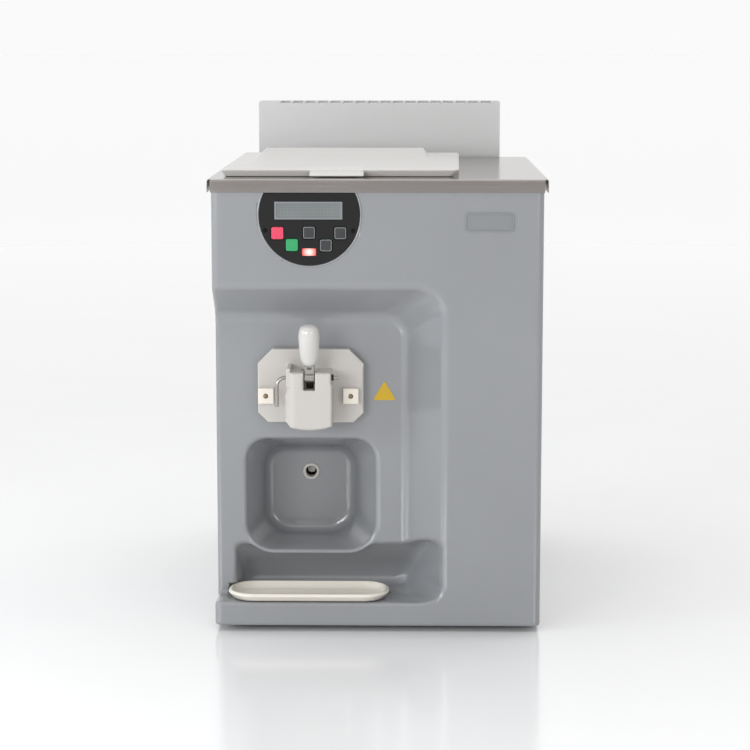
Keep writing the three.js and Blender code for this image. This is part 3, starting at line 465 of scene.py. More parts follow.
def through_holes(x, y, z):
    """Holes for the head's plug, its two studs and the drain."""
    def hole(centre, radius, near):
        return np.maximum(from_point(x, z, centre) - radius, near - y)
    studs = np.minimum(*(hole((stud, STUD_HEIGHT), 4.6, 40) for stud in STUDS.values()))
    return np.minimum(np.minimum(hole(HEAD, 41.8, 40), studs), hole(DRAIN, 9.0, 138))


def front_field(x, y, z):
    """The front moulding's skin, with round corners, its hollows, and its rear left open."""
    plan = round_max(np.abs(x) - HALF_WIDTH, -y, 8)
    hollows = front_hollows(x, y, z)
    outer = np.maximum(round_max(round_max(plan, -z, 3.5), -hollows, LIP_RADIUS), z - BODY_TOP)
    inner = round_max(plan, -hollows, LIP_RADIUS)
    shell = np.maximum(outer, -(inner + SKIN))
    side_return = 62.0
    shell = np.maximum(shell, np.minimum(y - side_return, hollows - SKIN - 0.05))
    return np.maximum(np.maximum(shell, -disc_pocket(x, y, z)), -through_holes(x, y, z))


field_piece(
    "front_skin", front_field, (-HALF_WIDTH, 0, 0), (HALF_WIDTH, 149, BODY_TOP), 1.5, "body_plastic",
    adapt=0.12, instead_of=["front_panel", "recess_liner", "niche_liner"])


# ---- Cover, duct and casing

def sheet_piece(name, points, faces, slot, thickness, edge=0.3, **kept):
    """Folded sheet: a surface given its thickness inwards, with its cut edges eased."""
    piece = mesh_piece(name, points, faces, slot, **kept)
    face_outwards(piece, 1e-6)
    thick = piece.modifiers.new("thick", "SOLIDIFY")
    thick.thickness = thickness / 1000
    thick.offset = -1
    thick.use_even_offset = True
    return soften(piece, edge, 2, 50)


def fold(start, outward, down, radius, drop, steps=5):
    """Points down a bent lip: round the bend, then straight for the rest of the drop."""
    path = []
    for i in range(steps + 1):
        angle = i / steps * math.pi / 2
        path.append(start + outward * (radius * math.sin(angle)) + down * (radius * (1 - math.cos(angle))))
    path.append(path[-1] + down * (drop - radius))
    return path


def add_cover():
    """Brushed top cover: flat top with the hopper's opening, and three folded lips with open corners."""
    top, radius, drop = 548.8, 2.2, 15.8
    half, front, rear = 205 - radius, -2 + radius, 531.0
    xs = [-half, -200.4, -176, 86, 200.4, half]
    ys = [front, 2.6, 60, 430, rear]
    points, faces = [], []

    def add(*corners):
        start = len(points)
        points.extend(corners)
        faces.append(tuple(range(start, start + len(corners))))

    hopper_opening = (2, 2)
    for i, (x0, x1) in enumerate(zip(xs, xs[1:])):
        for j, (y0, y1) in enumerate(zip(ys, ys[1:])):
            if (i, j) == hopper_opening:
                continue
            if j == 0 and i in (0, len(xs) - 2):
                inner, outer = (x1, x0) if i == 0 else (x0, x1)
                add((inner, y0, top), (outer, y1, top), (inner, y1, top))
            else:
                add((x0, y0, top), (x1, y0, top), (x1, y1, top), (x0, y1, top))

    def lip(starts, outward):
        down = Vector((0, 0, -1))
        paths = [fold(Vector(s), Vector(outward), down, radius, drop) for s in starts]
        for first, second in zip(paths, paths[1:]):
            for k in range(len(first) - 1):
                add(first[k], first[k + 1], second[k + 1], second[k])

    lip([(x, front, top) for x in xs[1:-1]], (0, -1, 0))
    lip([(-half, y, top) for y in ys[1:]], (-1, 0, 0))
    lip([(half, y, top) for y in ys[1:]], (1, 0, 0))
    sheet_piece("cover_sheet", points, faces, "brushed_cover", 1.2, instead_of=["top_cover"])


def box_mesh(x0, x1, y0, y1, z0, z1):
    corners = [(x, y, z) for x in (x0, x1) for y in (y0, y1) for z in (z0, z1)]
    faces = [(0, 1, 3, 2), (4, 6, 7, 5), (0, 4, 5, 1), (2, 3, 7, 6), (0, 2, 6, 4), (1, 5, 7, 3)]
    return corners, faces


def cutter(boxes):
    """One throwaway object of many boxes, to cut with."""
    points, faces = [], []
    for bounds in boxes:
        corners, sides = box_mesh(*bounds)
        faces.extend(tuple(i + len(points) for i in side) for side in sides)
        points.extend(corners)
    mesh = bpy.data.meshes.new("cutter")
    mesh.from_pydata([tuple(p) for p in at_all(points)], [], faces)
    return add_object("cutter", mesh)


def carve(piece, *tools):
    for tool in tools:
        boolean = piece.modifiers.new("carve", "BOOLEAN")
        boolean.operation = "DIFFERENCE"
        boolean.solver = "EXACT"
        boolean.object = tool
    apply_modifiers(piece)
    for tool in tools:
        bpy.data.objects.remove(tool)


def edge_width(piece, radius, chosen, segments=5):
    """Rounds just the edges that a test on their two ends picks, in body millimetres."""
    mesh = bmesh.new()
    mesh.from_mesh(piece.data)
    shift = Vector((0, MIDDLE_DEPTH, -FOOT_HEIGHT))
    picked = [e for e in mesh.edges if chosen(*(v.co * 1000 + shift for v in e.verts))]
    bmesh.ops.bevel(
        mesh, geom=picked, offset=radius / 1000, segments=segments, affect="EDGES", profile=0.5)
    mesh.to_mesh(piece.data)
    mesh.free()


def add_duct():
    """Exhaust duct behind the cover: a folded box with round edges, a slotted top and its seams."""
    x0, x1, y0, y1, z0, z1 = -179, 168, 532.3, 592.2, 52, 628.7
    piece = mesh_piece(
        "exhaust_duct", *box_mesh(x0, x1, y0, y1, z0, z1), "duct_grey", instead_of=["rear_air_duct"])
    upright = lambda a, b: abs(a.x - b.x) < 1 and abs(a.y - b.y) < 1
    ends = lambda a, b: a.z > z1 - 7 and b.z > z1 - 7 and abs(a.x - b.x) < 1 and abs(a.z - b.z) < 1
    rest = lambda a, b: a.z > z1 - 7 and b.z > z1 - 7 or upright(a, b)
    edge_width(piece, 6.0, ends, 6)
    edge_width(piece, 2.0, rest, 3)
    wall = 1.5
    inside = (x0 + wall, x1 - wall, y0 + wall, y1 - wall, z0 + wall, z1 - wall)
    middle = (x0 + x1) / 2
    count, pitch, half_slot = 18, 17.9, 7.1
    places = [middle + (i - (count - 1) / 2) * pitch for i in range(count)]
    slots = [(x - half_slot, x + half_slot, y0 - 5, y1 - 10, z1 - 4.4, z1 + 5) for x in places]
    inlet = (x0 + 14, x1 - 14, y0 - 4, y0 + 4, 60, 540)
    seams = [
        (x, x + 0.5, y0 - 1, y0 + 0.45, 544, z1 - 4) for x in (x0 + 15, x1 - 8)
    ] + [(x, x + 0.5, y1 - 0.45, y1 + 1, z0 - 1, z1 - 4) for x in (x0 + 15, x1 - 15)]
    carve(piece, cutter([inside, inlet]), cutter(slots + seams))
    soften(piece, 0.25, 2, 50)


def rounded_outline(x0, x1, z0, z1, radius, steps=6):
    """Corners of a round-cornered rectangle, anticlockwise."""
    corners = [(x1 - radius, z0 + radius, -90), (x1 - radius, z1 - radius, 0),
               (x0 + radius, z1 - radius, 90), (x0 + radius, z0 + radius, 180)]
    return [
        (cx + radius * math.cos(math.radians(start + 90 * i / steps)),
         cz + radius * math.sin(math.radians(start + 90 * i / steps)))
        for cx, cz, start in corners for i in range(steps + 1)]


def plate_piece(name, outline, holes, low, high, slot, place=None, ease=0.2, **kept):
    """A flat plate with holes: drawn in (u, v), from depth low to depth high, with eased edges."""
    place = place or (lambda u, v, w: (u, w, v))
    curve = bpy.data.curves.new(name, "CURVE")
    curve.dimensions = "2D"
    curve.fill_mode = "BOTH"
    for loop in [outline] + list(holes):
        spline = curve.splines.new("POLY")
        spline.points.add(len(loop) - 1)
        for point, (u, v) in zip(spline.points, loop):
            point.co = (u, v, 0, 1)
        spline.use_cyclic_u = True
    curve.extrude = (high - low) / 2 - ease
    curve.bevel_depth = ease
    curve.bevel_resolution = 1
    curve.offset = -ease
    holder = add_object(name + "_outline", curve)
    flat = bpy.data.meshes.new_from_object(holder)
    bpy.data.objects.remove(holder)
    mesh = bmesh.new()
    mesh.from_mesh(flat)
    bmesh.ops.remove_doubles(mesh, verts=mesh.verts, dist=1e-4)
    for vert in mesh.verts:
        u, v, w = vert.co
        vert.co = place(u, v, w + (low + high) / 2)
    bmesh.ops.recalc_face_normals(mesh, faces=mesh.faces)
    mesh.verts.index_update()
    points = [tuple(v.co) for v in mesh.verts]
    faces = [tuple(v.index for v in f.verts) for f in mesh.faces]
    mesh.free()
    piece = mesh_piece(name, points, faces, slot, sharp=50, **kept)
    piece.modifiers.new("weigh", "WEIGHTED_NORMAL").keep_sharp = True
    apply_modifiers(piece)
    return piece


def turned_piece(name, profile, axis, centre, slot, segments=48, place=None, **kept):
    """A turned piece: [radius, place along the axis] about an axis through a point."""
    points, faces, rows = [], [], []
    for radius, along in profile:
        count = 1 if radius < 1e-6 else segments
        rows.append(list(range(len(points), len(points) + count)))
        for i in range(count):
            angle = 2 * math.pi * i / segments
            u, v = radius * math.cos(angle), radius * math.sin(angle)
            offset = {"x": (along, u, v), "y": (u, along, v), "z": (u, v, along)}[axis]
            points.append(tuple(c + o for c, o in zip(centre, offset)))
    for first, second in zip(rows, rows[1:]):
        for i in range(segments):
            a, b = first[i % len(first)], first[(i + 1) % len(first)]
            c, d = second[(i + 1) % len(second)], second[i % len(second)]
            face = tuple(dict.fromkeys((a, b, c, d)))
            if len(face) > 2:
                faces.append(face)
    if place:
        points = [place(Vector(p)) for p in points]
    piece = mesh_piece(name, points, faces, slot, sharp=40, **kept)
    face_outwards(piece)
    return piece


def add_side(side, name, node):
    """Side panel with a bank of round-ended louvre slots."""
    outer, inner = side * HALF_WIDTH, side * (HALF_WIDTH - 1.5)
    slots = [rounded_outline(330, 470, 60 + 16 * row, 65 + 16 * row, 2.4, 4) for row in range(9)]
    plate_piece(
        name, rounded_outline(62.3, 529.8, 0, BODY_TOP, 1.5, 3), slots,
        min(outer, inner), max(outer, inner), "body_paint", lambda u, v, w: (w, u, v), instead_of=[node])


def add_rear_panel():
    """Rear sheet with its exhaust slots and the hole for the lead's gland."""
    slots = [rounded_outline(8, 152, 62 + 18 * r, 72 + 18 * r, 5, 5) for r in range(9)]
    angles = [i * math.pi / 12 for i in range(24)]
    hole = [(GLAND[0] + 9 * math.cos(a), GLAND[1] + 9 * math.sin(a)) for a in angles]
    plate_piece(
        "rear_sheet", rounded_outline(-198, 198, 0.5, 546.6, 2, 3), slots + [hole], REAR - 1.5, REAR,
        "galvanised_sheet", instead_of=["rear_panel"])


def screw_head(name, x, y, z, axis, facing, radius=3.6):
    """A pan-head screw with its cross recess."""
    height = radius * 0.62
    profile = [(0, 0), (radius, 0), (radius, 0.25 * height), (radius * 0.93, 0.6 * height),
               (radius * 0.7, 0.9 * height), (radius * 0.4, height), (0, height)]
    profile = [(r, facing * a) for r, a in profile]
    piece = turned_piece(name, profile, axis, (x, y, z), "compressor_black", 24, finish="blackened")
    bar, reach = radius * 0.16, radius * 0.6
    near, far = sorted((facing * height * 0.45, facing * (height + 1)))
    boxes = []
    for u, v in ((reach, bar), (bar, reach)):
        spans = {"x": ((near, far), (-u, u), (-v, v)), "y": ((-u, u), (near, far), (-v, v)),
                 "z": ((-u, u), (-v, v), (near, far))}[axis]
        boxes.append(tuple(c + s for c, span in zip((x, y, z), spans) for s in span))
    carve(piece, cutter(boxes[:1]), cutter(boxes[1:]))
    piece.data.set_sharp_from_angle(angle=math.radians(40))


def add_screws():
    """The side, rear and duct panels' screws."""
    for side, label in ((-1, "left"), (1, "right")):
        for row, z in enumerate((30, 280, 515)):
            for column, y in enumerate((84, 512)):
                screw_head(f"side_screw_{label}_{row}_{column}", side * HALF_WIDTH, y, z, "x", side)
    for row, z in enumerate((28, 250, 500)):
        for label, x in (("left", -190), ("right", 184)):
            screw_head(f"rear_screw_{label}_{row}", x, REAR, z, "y", 1)
    for row, z in enumerate((80, 560)):
        for label, x in (("left", -165), ("right", 154)):
            screw_head(f"duct_screw_{label}_{row}", x, 592.2 - 2.3, z, "y", 1, 3.4)


def add_feet():
    """Round rubber feet, each with a hole up its middle for the screw."""
    profile = [
        (0, -7), (13, -7), (14, -6.2), (14.6, -3.6), (16, -1.2), (16.6, 0), (3.4, 0), (3.4, 9), (0, 9)]
    for label, x in (("left", -165), ("right", 165)):
        for place, y in (("front", 62), ("rear", 480)):
            turned_piece(
                f"rubber_foot_{place}_{label}", profile, "z", (x, y, 0), "rubber_black", 40,
                instead_of=[f"foot_{place}_{label}"])


def add_gland():
    """Gland for the supply lead, with a ribbed sleeve that narrows outwards."""
    profile = [
        (3.5, 518), (8.6, 518), (8.6, 532), (13, 532), (13, 536.2), (12.2, 537), (8.6, 538.5), (8, 540)]
    for i in range(4):
        rib, neck, start = 7.8 - i * 0.4, 6.6 - i * 0.3, 541 + 3.6 * i
        profile += [(rib, start), (neck, start + 0.6), (neck, start + 2.6), (rib - 0.2, start + 3.2)]
    profile += [(6.0, 556), (3.5, 556), (3.5, 518)]
    turned_piece(
        "lead_gland", profile, "y", (GLAND[0], 0, GLAND[1]), "rubber_black", 32, instead_of=["power_inlet"])


def add_casing():
    add_cover()
    add_duct()
    add_side(-1, "side_sheet_left", "left_side_panel")
    add_side(1, "side_sheet_right", "right_side_panel")
    add_rear_panel()
    add_screws()
    add_feet()
    add_gland()


add_casing()


def add_marks():
    """A plain raised badge on the front and a plain sticker beside the head."""
    outer = rounded_outline(105, 164, 486, 509, 5)
    inner = rounded_outline(107.2, 161.8, 488.2, 506.8, 3.4)
    plate_piece("front_badge", inner, [], -0.5, 0.05, "body_plastic", ease=0.2, finish="badge_grey")
    plate_piece("front_badge_rim", outer, [inner], -1.0, 0.05, "body_plastic", ease=0.3, finish="badge_grey")
    middle, half, low, height = 8, 13.2, 274.2, 23.0
    triangle = [
        (middle - half + 1.4, low), (middle + half - 1.4, low), (middle + half, low + 1.6),
        (middle + 1.2, low + height - 1), (middle, low + height), (middle - 1.2, low + height - 1),
        (middle - half, low + 1.6)]
    plate_piece(
        "face_sticker", triangle, [], 47.55, 48.05, "overlay_black", ease=0.1, finish="sticker_yellow")


add_marks()


# ---- Hopper lid, tank and feed tube

def lid_body(x, y, z, closed):
    """The lid's outside. Its underside is left open where closed is false."""
    draft = 0.95 * np.maximum(557.0 - z, 0)
    right = (x - 98.5 - (y - 44) * 0.02) + draft
    skirt = round_max(
        round_max(-191 - x + 0.5 * draft, right, 1), round_max(44 - y + draft, y - 447 + 0.3 * draft, 1), 6)
    body = round_max(skirt, z - 559, 2.2)
    ramp = plane(y, z, (255, 557), (405, 566), (400, 500))
    hump = round_max(ramp, plane(y, z, (440, 557), (435, 566), (300, 500)), 2)
    left, right = plane(x, z, (-169, 557), (-160, 566), (0, 500)), plane(x, z, (64, 557), (57, 566), (0, 500))
    hump = round_max(hump, np.maximum(left, right), 1.5)
    body = round_min(body, np.maximum(hump, z - 566.2), 2.0)
    if closed:
        body = np.maximum(body, 549.1 - z)
    return body


def lid_field(x, y, z):
    """The lid as a shell, with its sloping finger lip at the front."""
    shell = np.maximum(lid_body(x, y, z, True), -(lid_body(x, y, z, False) + 2.6))
    top = plane(y, z, (30, 551.6), (56, 559.6), (60, 500))
    under = plane(y, z, (30, 549.4), (56, 556.0), (60, 600))
    across = round_max(np.abs(x + 50) - 33, np.maximum(top, under), 1.0)
    return round_min(shell, round_max(across, round_max(32.4 - y, y - 60, 1), 1.0), 1.0)


def hopper_tank():
    """Open tank: a pressed steel tub with a flange that the cover sits on, and a drain pipe."""
    rings = [[(x, y, 546.6) for x, y in rounded_outline(-188, 98, 58, 442, 18, 6)]]
    for inset, z in ((0, 546.6), (1.5, 546.2), (2.2, 544.5), (3.0, 430), (5, 423), (10, 420.2)):
        outline = rounded_outline(-175 + inset, 85 - inset, 61 + inset, 429 - inset, 16, 6)
        rings.append([(x, y, z) for x, y in outline])
    count, pipe, pipe_y = len(rings[0]), 10, 290
    angles = [2 * math.pi * i / count - math.pi / 4 for i in range(count)]
    for z in (419.8, 337):
        rings.append([(HEAD[0] + pipe * math.cos(a), pipe_y + pipe * math.sin(a), z) for a in angles])
    faces = []
    for row in range(len(rings) - 1):
        for i in range(count):
            j = (i + 1) % count
            first, second = row * count, (row + 1) * count
            faces.append((first + i, first + j, second + j, second + i))
    points = [point for ring in rings for point in ring]
    piece = mesh_piece("hopper_tub", points, faces, "brushed_steel", sharp=40, instead_of=["hopper_tank"])
    face_outwards(piece)
    thick = piece.modifiers.new("thick", "SOLIDIFY")
    thick.thickness = 0.0015
    thick.offset = 1
    apply_modifiers(piece)


field_piece(
    "lid_moulding", lid_field, (-191, 32, 549), (107, 447, 567), 1.0, "lid_white", adapt=0.1,
    body="lid", instead_of=["hopper_lid"])
hopper_tank()


# ---- Dispensing head

def octagon(x, z, half_x, half_z, low, high):
    """Outline of the head's plate: a rectangle, its corners cut by low below and by high above."""
    flat = np.maximum(np.abs(x - HEAD[0]) - half_x, np.abs(z - HEAD[1]) - half_z)
    reach = half_x + half_z
    lower = (np.abs(x - HEAD[0]) + (HEAD[1] - z) - (reach - low)) / math.sqrt(2)
    upper = (np.abs(x - HEAD[0]) + (z - HEAD[1]) - (reach - high)) / math.sqrt(2)
    return np.maximum(flat, np.maximum(lower, upper))


def spigot_block(x, y, z):
    """Full height in the middle, with a lower part that is wider on the left and a soft belly."""
    upper = round_max(np.abs(x + 82.4) - 26.6, z - 316, 1.6)
    belly = 245.6 - z + 0.0062 * (x + 82) ** 2
    left_edge = -112.8
    lower = np.maximum(np.maximum(left_edge - x, x + 55.4), z - 300)
    shoulder = ((left_edge - x) * 1.9 + (z - 286)) / 2.15
    left_foot = ((left_edge - x) - (z - 249) + 8.0) / math.sqrt(2)
    nose = ((left_edge - x) - (y + 10) + 9.5) / math.sqrt(2)
    block = round_min(upper, np.maximum(lower, shoulder), 3)
    block = round_max(np.maximum(np.maximum(block, belly), np.maximum(left_foot, nose)), -10.0 - y, 3.0)
    return np.maximum(block, y - 40)


def head_bores(x, y, z):
    """The piston's bore with the nozzle's seat, and the holes for the port, pin, studs and the black collar
    that paints the shade in the pin's gap.
    """
    bore = from_point(x, y, (HEAD[0], SPIGOT_DEPTH))
    seat = np.maximum(bore - 14.6, z - 252)
    port = np.maximum(from_point(x, z, (HEAD[0], 272)) - 7, 21 - y)
    from_pivot = from_point(y, z, PIVOT)
    pin = np.minimum(from_pivot - 2.7, np.maximum(from_pivot - 3.8, -60.0 - x))
    studs = np.minimum(*(from_point(x, z, (stud, STUD_HEIGHT)) for stud in STUDS.values())) - 4.5
    return np.minimum(bore - 11.3, seat), np.minimum(np.minimum(port, pin), studs)


def head_field(x, y, z):
    """The plate, spigot block and plug in one, with the slot for the lever."""
    plate = round_max(octagon(x, z, 65, 45.5, 12.5, 18), np.abs(y - 40.35) - 7.35, 1.2)
    ear = round_max(
        round_max(np.abs(x + 107.6) - 2.6, np.abs(z - 309.5) - 12, 1.5), np.maximum(-8.0 - y, y - 36), 1.2)
    body = round_min(round_min(plate, spigot_block(x, y, z), 2.2), ear, 1.0)
    centre = from_point(x, z, HEAD)
    plug = np.maximum(centre - 37.4, np.abs(y - 54) - 8)
    groove = np.maximum(np.maximum(centre - 41, 33.7 - centre), np.abs(y - 55) - 2)
    body = np.maximum(np.minimum(body, plug), -groove)
    upright, crosswise = head_bores(x, y, z)
    lever_slot = np.maximum(np.maximum(np.abs(x - HEAD[0]) - 7, y - 21), 294.6 - z)
    body = round_max(np.maximum(body, -upright), -lever_slot, 0.8)
    return np.maximum(body, -crosswise)


def on_lever(point):
    """From the lever's own upright drawing, with the pivot at its origin, to its leaning place."""
    return Matrix.Rotation(LEVER_LEAN, 3, "X") @ point + Vector((HEAD[0], *PIVOT))


def shank_field(x, y, z):
    """The lever's fork, upright about its pivot: hub, shank, and slanting arm with a round tip."""
    hub = np.sqrt(y * y + z * z) - 6.5
    neck = np.maximum(np.abs(y) - 3.1, np.abs(z - 9) - 9)
    shank = np.maximum(round_max(np.minimum(hub, neck), np.abs(x) - 6.3, 0.8), z - 16.1)
    tilt = math.radians(-42)
    along = y * math.cos(tilt) + z * math.sin(tilt)
    across = z * math.cos(tilt) - y * math.sin(tilt)
    arm = np.maximum(np.maximum(np.abs(across) - 2.5, np.abs(along - 11) - 11), np.abs(x) - 3.8)
    tip = np.maximum(np.sqrt((along - 22) ** 2 + across ** 2) - 3.3, np.abs(x) - 3.8)
    groove = np.maximum(np.abs(x) - 2.6, 12.0 - z)
    fork = np.minimum(round_max(shank, -groove, 0.6), np.minimum(arm, tip))
    return np.maximum(fork, 2.7 - np.sqrt(y * y + z * z))


def add_lever():
    """The barrel-shaped knob and the steel fork under it."""
    profile = [(0, 66.9), (4.0, 66.7), (7.2, 66.0), (9.8, 64.5), (11.3, 62.2), (12.05, 59.2), (12.7, 55.5),
               (12.9, 50), (12.7, 44), (12.3, 38), (11.8, 32), (11.1, 26.5), (10.1, 22), (8.6, 18.6),
               (6.6, 16.8), (4.6, 16.2), (0, 16.2)]
    turned_piece(
        "knob", profile, "z", (0, 0, 0), "knob_white", 64, place=on_lever, body="lever",
        instead_of=["lever_knob"]).data.shade_smooth()

    turn = np.array(Matrix.Rotation(LEVER_LEAN, 3, "X"))

    def leaning(x, y, z):
        px, py, pz = x - HEAD[0], y - PIVOT[0], z - PIVOT[1]
        return shank_field(
            px, turn[1][1] * py + turn[2][1] * pz, turn[1][2] * py + turn[2][2] * pz)

    field_piece(
        "lever_fork", leaning, (-89, -8, 292), (-75, 28, 326), 0.45, "steel_bright", adapt=0.05,
        body="lever", instead_of=["lever"])


def tube_piece(name, path, radius, slot, segments=16, **kept):
    """A round bar along a smooth path with rounded ends, in body millimetres."""
    curve = bpy.data.curves.new(name, "CURVE")
    curve.dimensions = "3D"
    spline = curve.splines.new("BEZIER")
    spline.bezier_points.add(len(path) - 1)
    for point, place in zip(spline.bezier_points, path):
        point.co = place
        point.handle_left_type = point.handle_right_type = "AUTO"
    curve.bevel_depth = radius
    curve.bevel_resolution = segments // 4
    curve.resolution_u = 10
    curve.use_fill_caps = True
    holder = add_object(name + "_path", curve)
    made = bpy.data.meshes.new_from_object(holder)
    bpy.data.objects.remove(holder)
    points = [tuple(v.co) for v in made.vertices]
    faces = [tuple(p.vertices) for p in made.polygons]
    piece = mesh_piece(name, points, faces, slot, sharp=50, **kept)
    return soften(piece, radius * 0.35, 3, 60)


def add_nuts():
    """Square nuts with a stepped hole, and the studs' ends in them."""
    hole = [(0, 15), (2.9, 15), (2.9, 25.6), (4.5, 25.6), (4.5, 40), (0, 40)]
    stud = [(0, 22.6), (1.9, 22.6), (2.5, 23.1), (2.5, 26), (4, 26), (4, 52.7), (0, 52.7)]
    half = 9.5
    for side, x in STUDS.items():
        block = box_mesh(x - half, x + half, 23, 32.7, STUD_HEIGHT - half, STUD_HEIGHT + half)
        nut = mesh_piece(
            f"square_nut_{side}", *block, "nut_cream", body=f"nut_{side}", instead_of=[f"fixing_nut_{side}"])
        carve(nut, turned_piece(f"hole_{side}", hole, "y", (x, 0, STUD_HEIGHT), "nut_cream", 24))
        soften(nut, 1.1, 3, 50)
        turned_piece(
            f"stud_{side}", stud, "y", (x, 0, STUD_HEIGHT), "steel_bright", 32, finish="brass",
            instead_of=[f"head_stud_{side}"])


def add_head_fittings():
    """The bent pivot pin, the nuts on their studs, a black collar at the pin's end that paints the shade in
    the gap round it, and the nozzle.
    """
    bend = [(-47.5, 309), (-80, 309), (-108, 309), (-115, 308.2), (-120.6, 303.4), (-122, 296), (-122, 285),
            (-122, 273.2)]
    tube_piece(
        "pin_rod", [(x, PIVOT[0], z) for x, z in bend], 2.25, "steel_bright", body="pin",
        instead_of=["pivot_pin"])
    add_nuts()
    # Painted shade: a black collar fills the gap where the pin leaves its bore, standing for the shadow in
    # that gap.
    gap_shade_collar = [(2.5, -60), (3.5, -60), (3.5, -56), (3.9, -55.6), (3.9, -53.4), (3.4, -52.9), (2.5, -52.9),
            (2.5, -60)]
    turned_piece("pin_gap_shade_collar", gap_shade_collar, "x", (0, *PIVOT), "rubber_black", 32)
    nozzle = [(6.5, 251.6), (6.5, 246), (8.5, 244.5), (11.4, 244.5), (12.2, 245.2), (14.0, 248),
              (14.2, 251.6), (6.5, 251.6)]
    turned_piece(
        "nozzle_ring", nozzle, "z", (HEAD[0], SPIGOT_DEPTH, 0), "acetal_white", 48,
        instead_of=["star_nozzle"])


field_piece(
    "head_block", head_field, (-148, -11, 247), (-16, 63, 340), 0.75, "acetal_white", adapt=0.06,
    instead_of=["dispensing_head"])
add_lever()
add_head_fittings()


# ---- Dish and drain

def dish_field(x, y, z):
    """Drip dish: a long round-ended tray with a thick rolled rim and a shallow bowl."""
    z = z - 29.6
    plan = round_max(np.abs(x - DISH[0]) - 100, np.abs(y - DISH[1]) - 38, 33)
    flare = plan + np.maximum(7.4 - z, 0) * 0.9
    outer = round_max(round_max(flare, z - 10.4, 4.4), -z, 1.5)
    bowl = round_max(plan + 6.2 + np.maximum(9 - z, 0) * 0.8, 2.4 - z, 5)
    return round_max(outer, -bowl, 2.6)


def add_dish():
    field_piece(
        "dish_moulding", dish_field, (-186, -3, 29), (15, 75, 41), 0.9, "dish_cream", adapt=0.08,
        body="dish", instead_of=["drip_dish"])
    ferrule = [(7.2, 143.1), (7.7, 142.7), (9.6, 142.6), (10.5, 143.2), (10.8, 144.7), (8.7, 144.7),
               (8.7, 157), (7.2, 157), (7.2, 143.1)]
    turned_piece(
        "drain_bush", ferrule, "y", (DRAIN[0], 0, DRAIN[1]), "acetal_white", 40, instead_of=["drain_ferrule"])


add_dish()


# ---- Control panel

KEYS = {
    "standby": (-120, 484.4), "produce": (-102.6, 470.1), "select": (-82, 485), "menu": (-61.8, 469.7),
    "set": (-44.4, 484.4)}


def disc_arc(radius, top, steps):
    """Directions round the disc, from the right end of its flat top to the left end."""
    start = math.asin((top - DISC[1]) / radius)
    span = math.pi + 2 * start
    angles = [start - span * i / steps for i in range(steps + 1)]
    return [(math.cos(angle), math.sin(angle)) for angle in angles]


def key_square(x, z, half, radius, steps=5):
    return rounded_outline(x - half, x + half, z - half, z + half, radius, steps)


def add_overlay():
    """The black disc with its windows, and the raised rim round it."""
    holes = [key_square(x, z, 8.2, 2.8, 4) for x, z in KEYS.values()]
    holes.append(rounded_outline(-123.8, -41.6, 500.4, 522.4, 0.8, 3))
    holes.append(rounded_outline(-90.7, -73.3, 457, 466.2, 1, 3))
    radius = 61
    outline = [(DISC[0] + radius * c, DISC[1] + radius * s) for c, s in disc_arc(radius, 532.6, 96)]
    plate_piece(
        "overlay_face", outline, holes, 0, 1.5, "overlay_black", ease=0.15, instead_of=["control_overlay"])
    section = [(60.9, 0.3), (60.9, -0.5), (61.3, -0.95), (62.0, -1.05), (62.7, -0.8), (63.2, 0.2)]
    arc = disc_arc(62, 532.8, 120)
    points = [(DISC[0] + r * c, y, DISC[1] + r * s) for c, s in arc for r, y in section]
    count, last = len(section), len(points) - len(section)
    faces = []
    for row in range(0, last, count):
        for k in range(count):
            m = (k + 1) % count
            faces.append((row + k, row + m, row + count + m, row + count + k))
    faces.append(tuple(range(count)))
    faces.append(tuple(last + k for k in reversed(range(count))))
    mesh_piece("overlay_rim", points, faces, "body_plastic", sharp=60)


def add_keys():
    """A cap for each key, and a thin frame on the dark ones."""
    for label, (x, z) in KEYS.items():
        slot = {"standby": "key_red", "produce": "key_green"}.get(label, "key_grey")
        body = f"key_{label}_cap"
        plate_piece(
            f"key_cap_{label}", key_square(x, z, 7.3, 2.2), [], -0.9, 1.5, slot, ease=0.6, body=body,
            instead_of=[f"key_{label}"])
        if slot == "key_grey":
            plate_piece(
                f"key_outline_{label}", key_square(x, z, 6.8, 2), [key_square(x, z, 6.1, 1.4)], -1.0, -0.5,
                "key_grey", ease=0.05, body=body, finish="badge_grey")


def add_control_panel():
    add_overlay()
    add_keys()
    plate_piece(
        "lcd_frame", rounded_outline(-123.4, -42, 500.8, 522, 0.6, 3),
        [rounded_outline(-121.4, -44.0, 502.6, 520.2, 0.6, 3)], -0.1, 0.7, "duct_grey", ease=0.15,
        finish="badge_grey")
    for label, x, z in (("left", -134.9, 487.8), ("right", -29.4, 487.2)):
        screw_head(f"overlay_screw_{label}", x, -0.05, z, "y", -1, 2.7)


add_control_panel()


# ---- Camera, floor and light

WORLD_FRONT = 0.35
WORLD_BACK = 0.955
OVERHEAD = 0.82


def add_camera():
    data = bpy.data.cameras.new("camera")
    data.lens = 106.41
    data.sensor_width = 36
    data.clip_end = 300
    camera = add_object("camera", data)
    camera.location = (0.0407, -2.9367, 0.7176)
    camera.rotation_euler = (math.radians(90 - 8.534), 0, math.radians(0.941))
    bpy.context.scene.camera = camera


def add_floor():
    """Glossy white table, wide enough to meet the white background unseen."""
    mesh = bpy.data.meshes.new("floor")
    half = 120.0
    corners = [(-half, -half, 0), (half, -half, 0), (half, half, 0), (-half, half, 0)]
    mesh.from_pydata(corners, [], [(0, 1, 2, 3)])
    floor = add_object("floor", mesh)
    finish = Finish("pale_floor", IOR=1.7)
    distance = finish.node("VectorMath")
    distance.operation = "LENGTH"
    finish.link(finish.place.outputs["Object"], distance.inputs[0])
    away = distance.outputs["Value"]
    near = finish.mix(
        finish.spread(finish.noise(3, detail=4), 0.0, 1.0), srgb(235, 235, 236), srgb(238, 238, 238))
    finish.colour(finish.mix(finish.spread(away, 0.0, 1.0, 1.5, 5.0), near, srgb(253, 253, 253)))
    finish.rough(finish.spread(away, 0.13, 0.3, 0.3, 6.0))
    mesh.materials.append(finish.material)


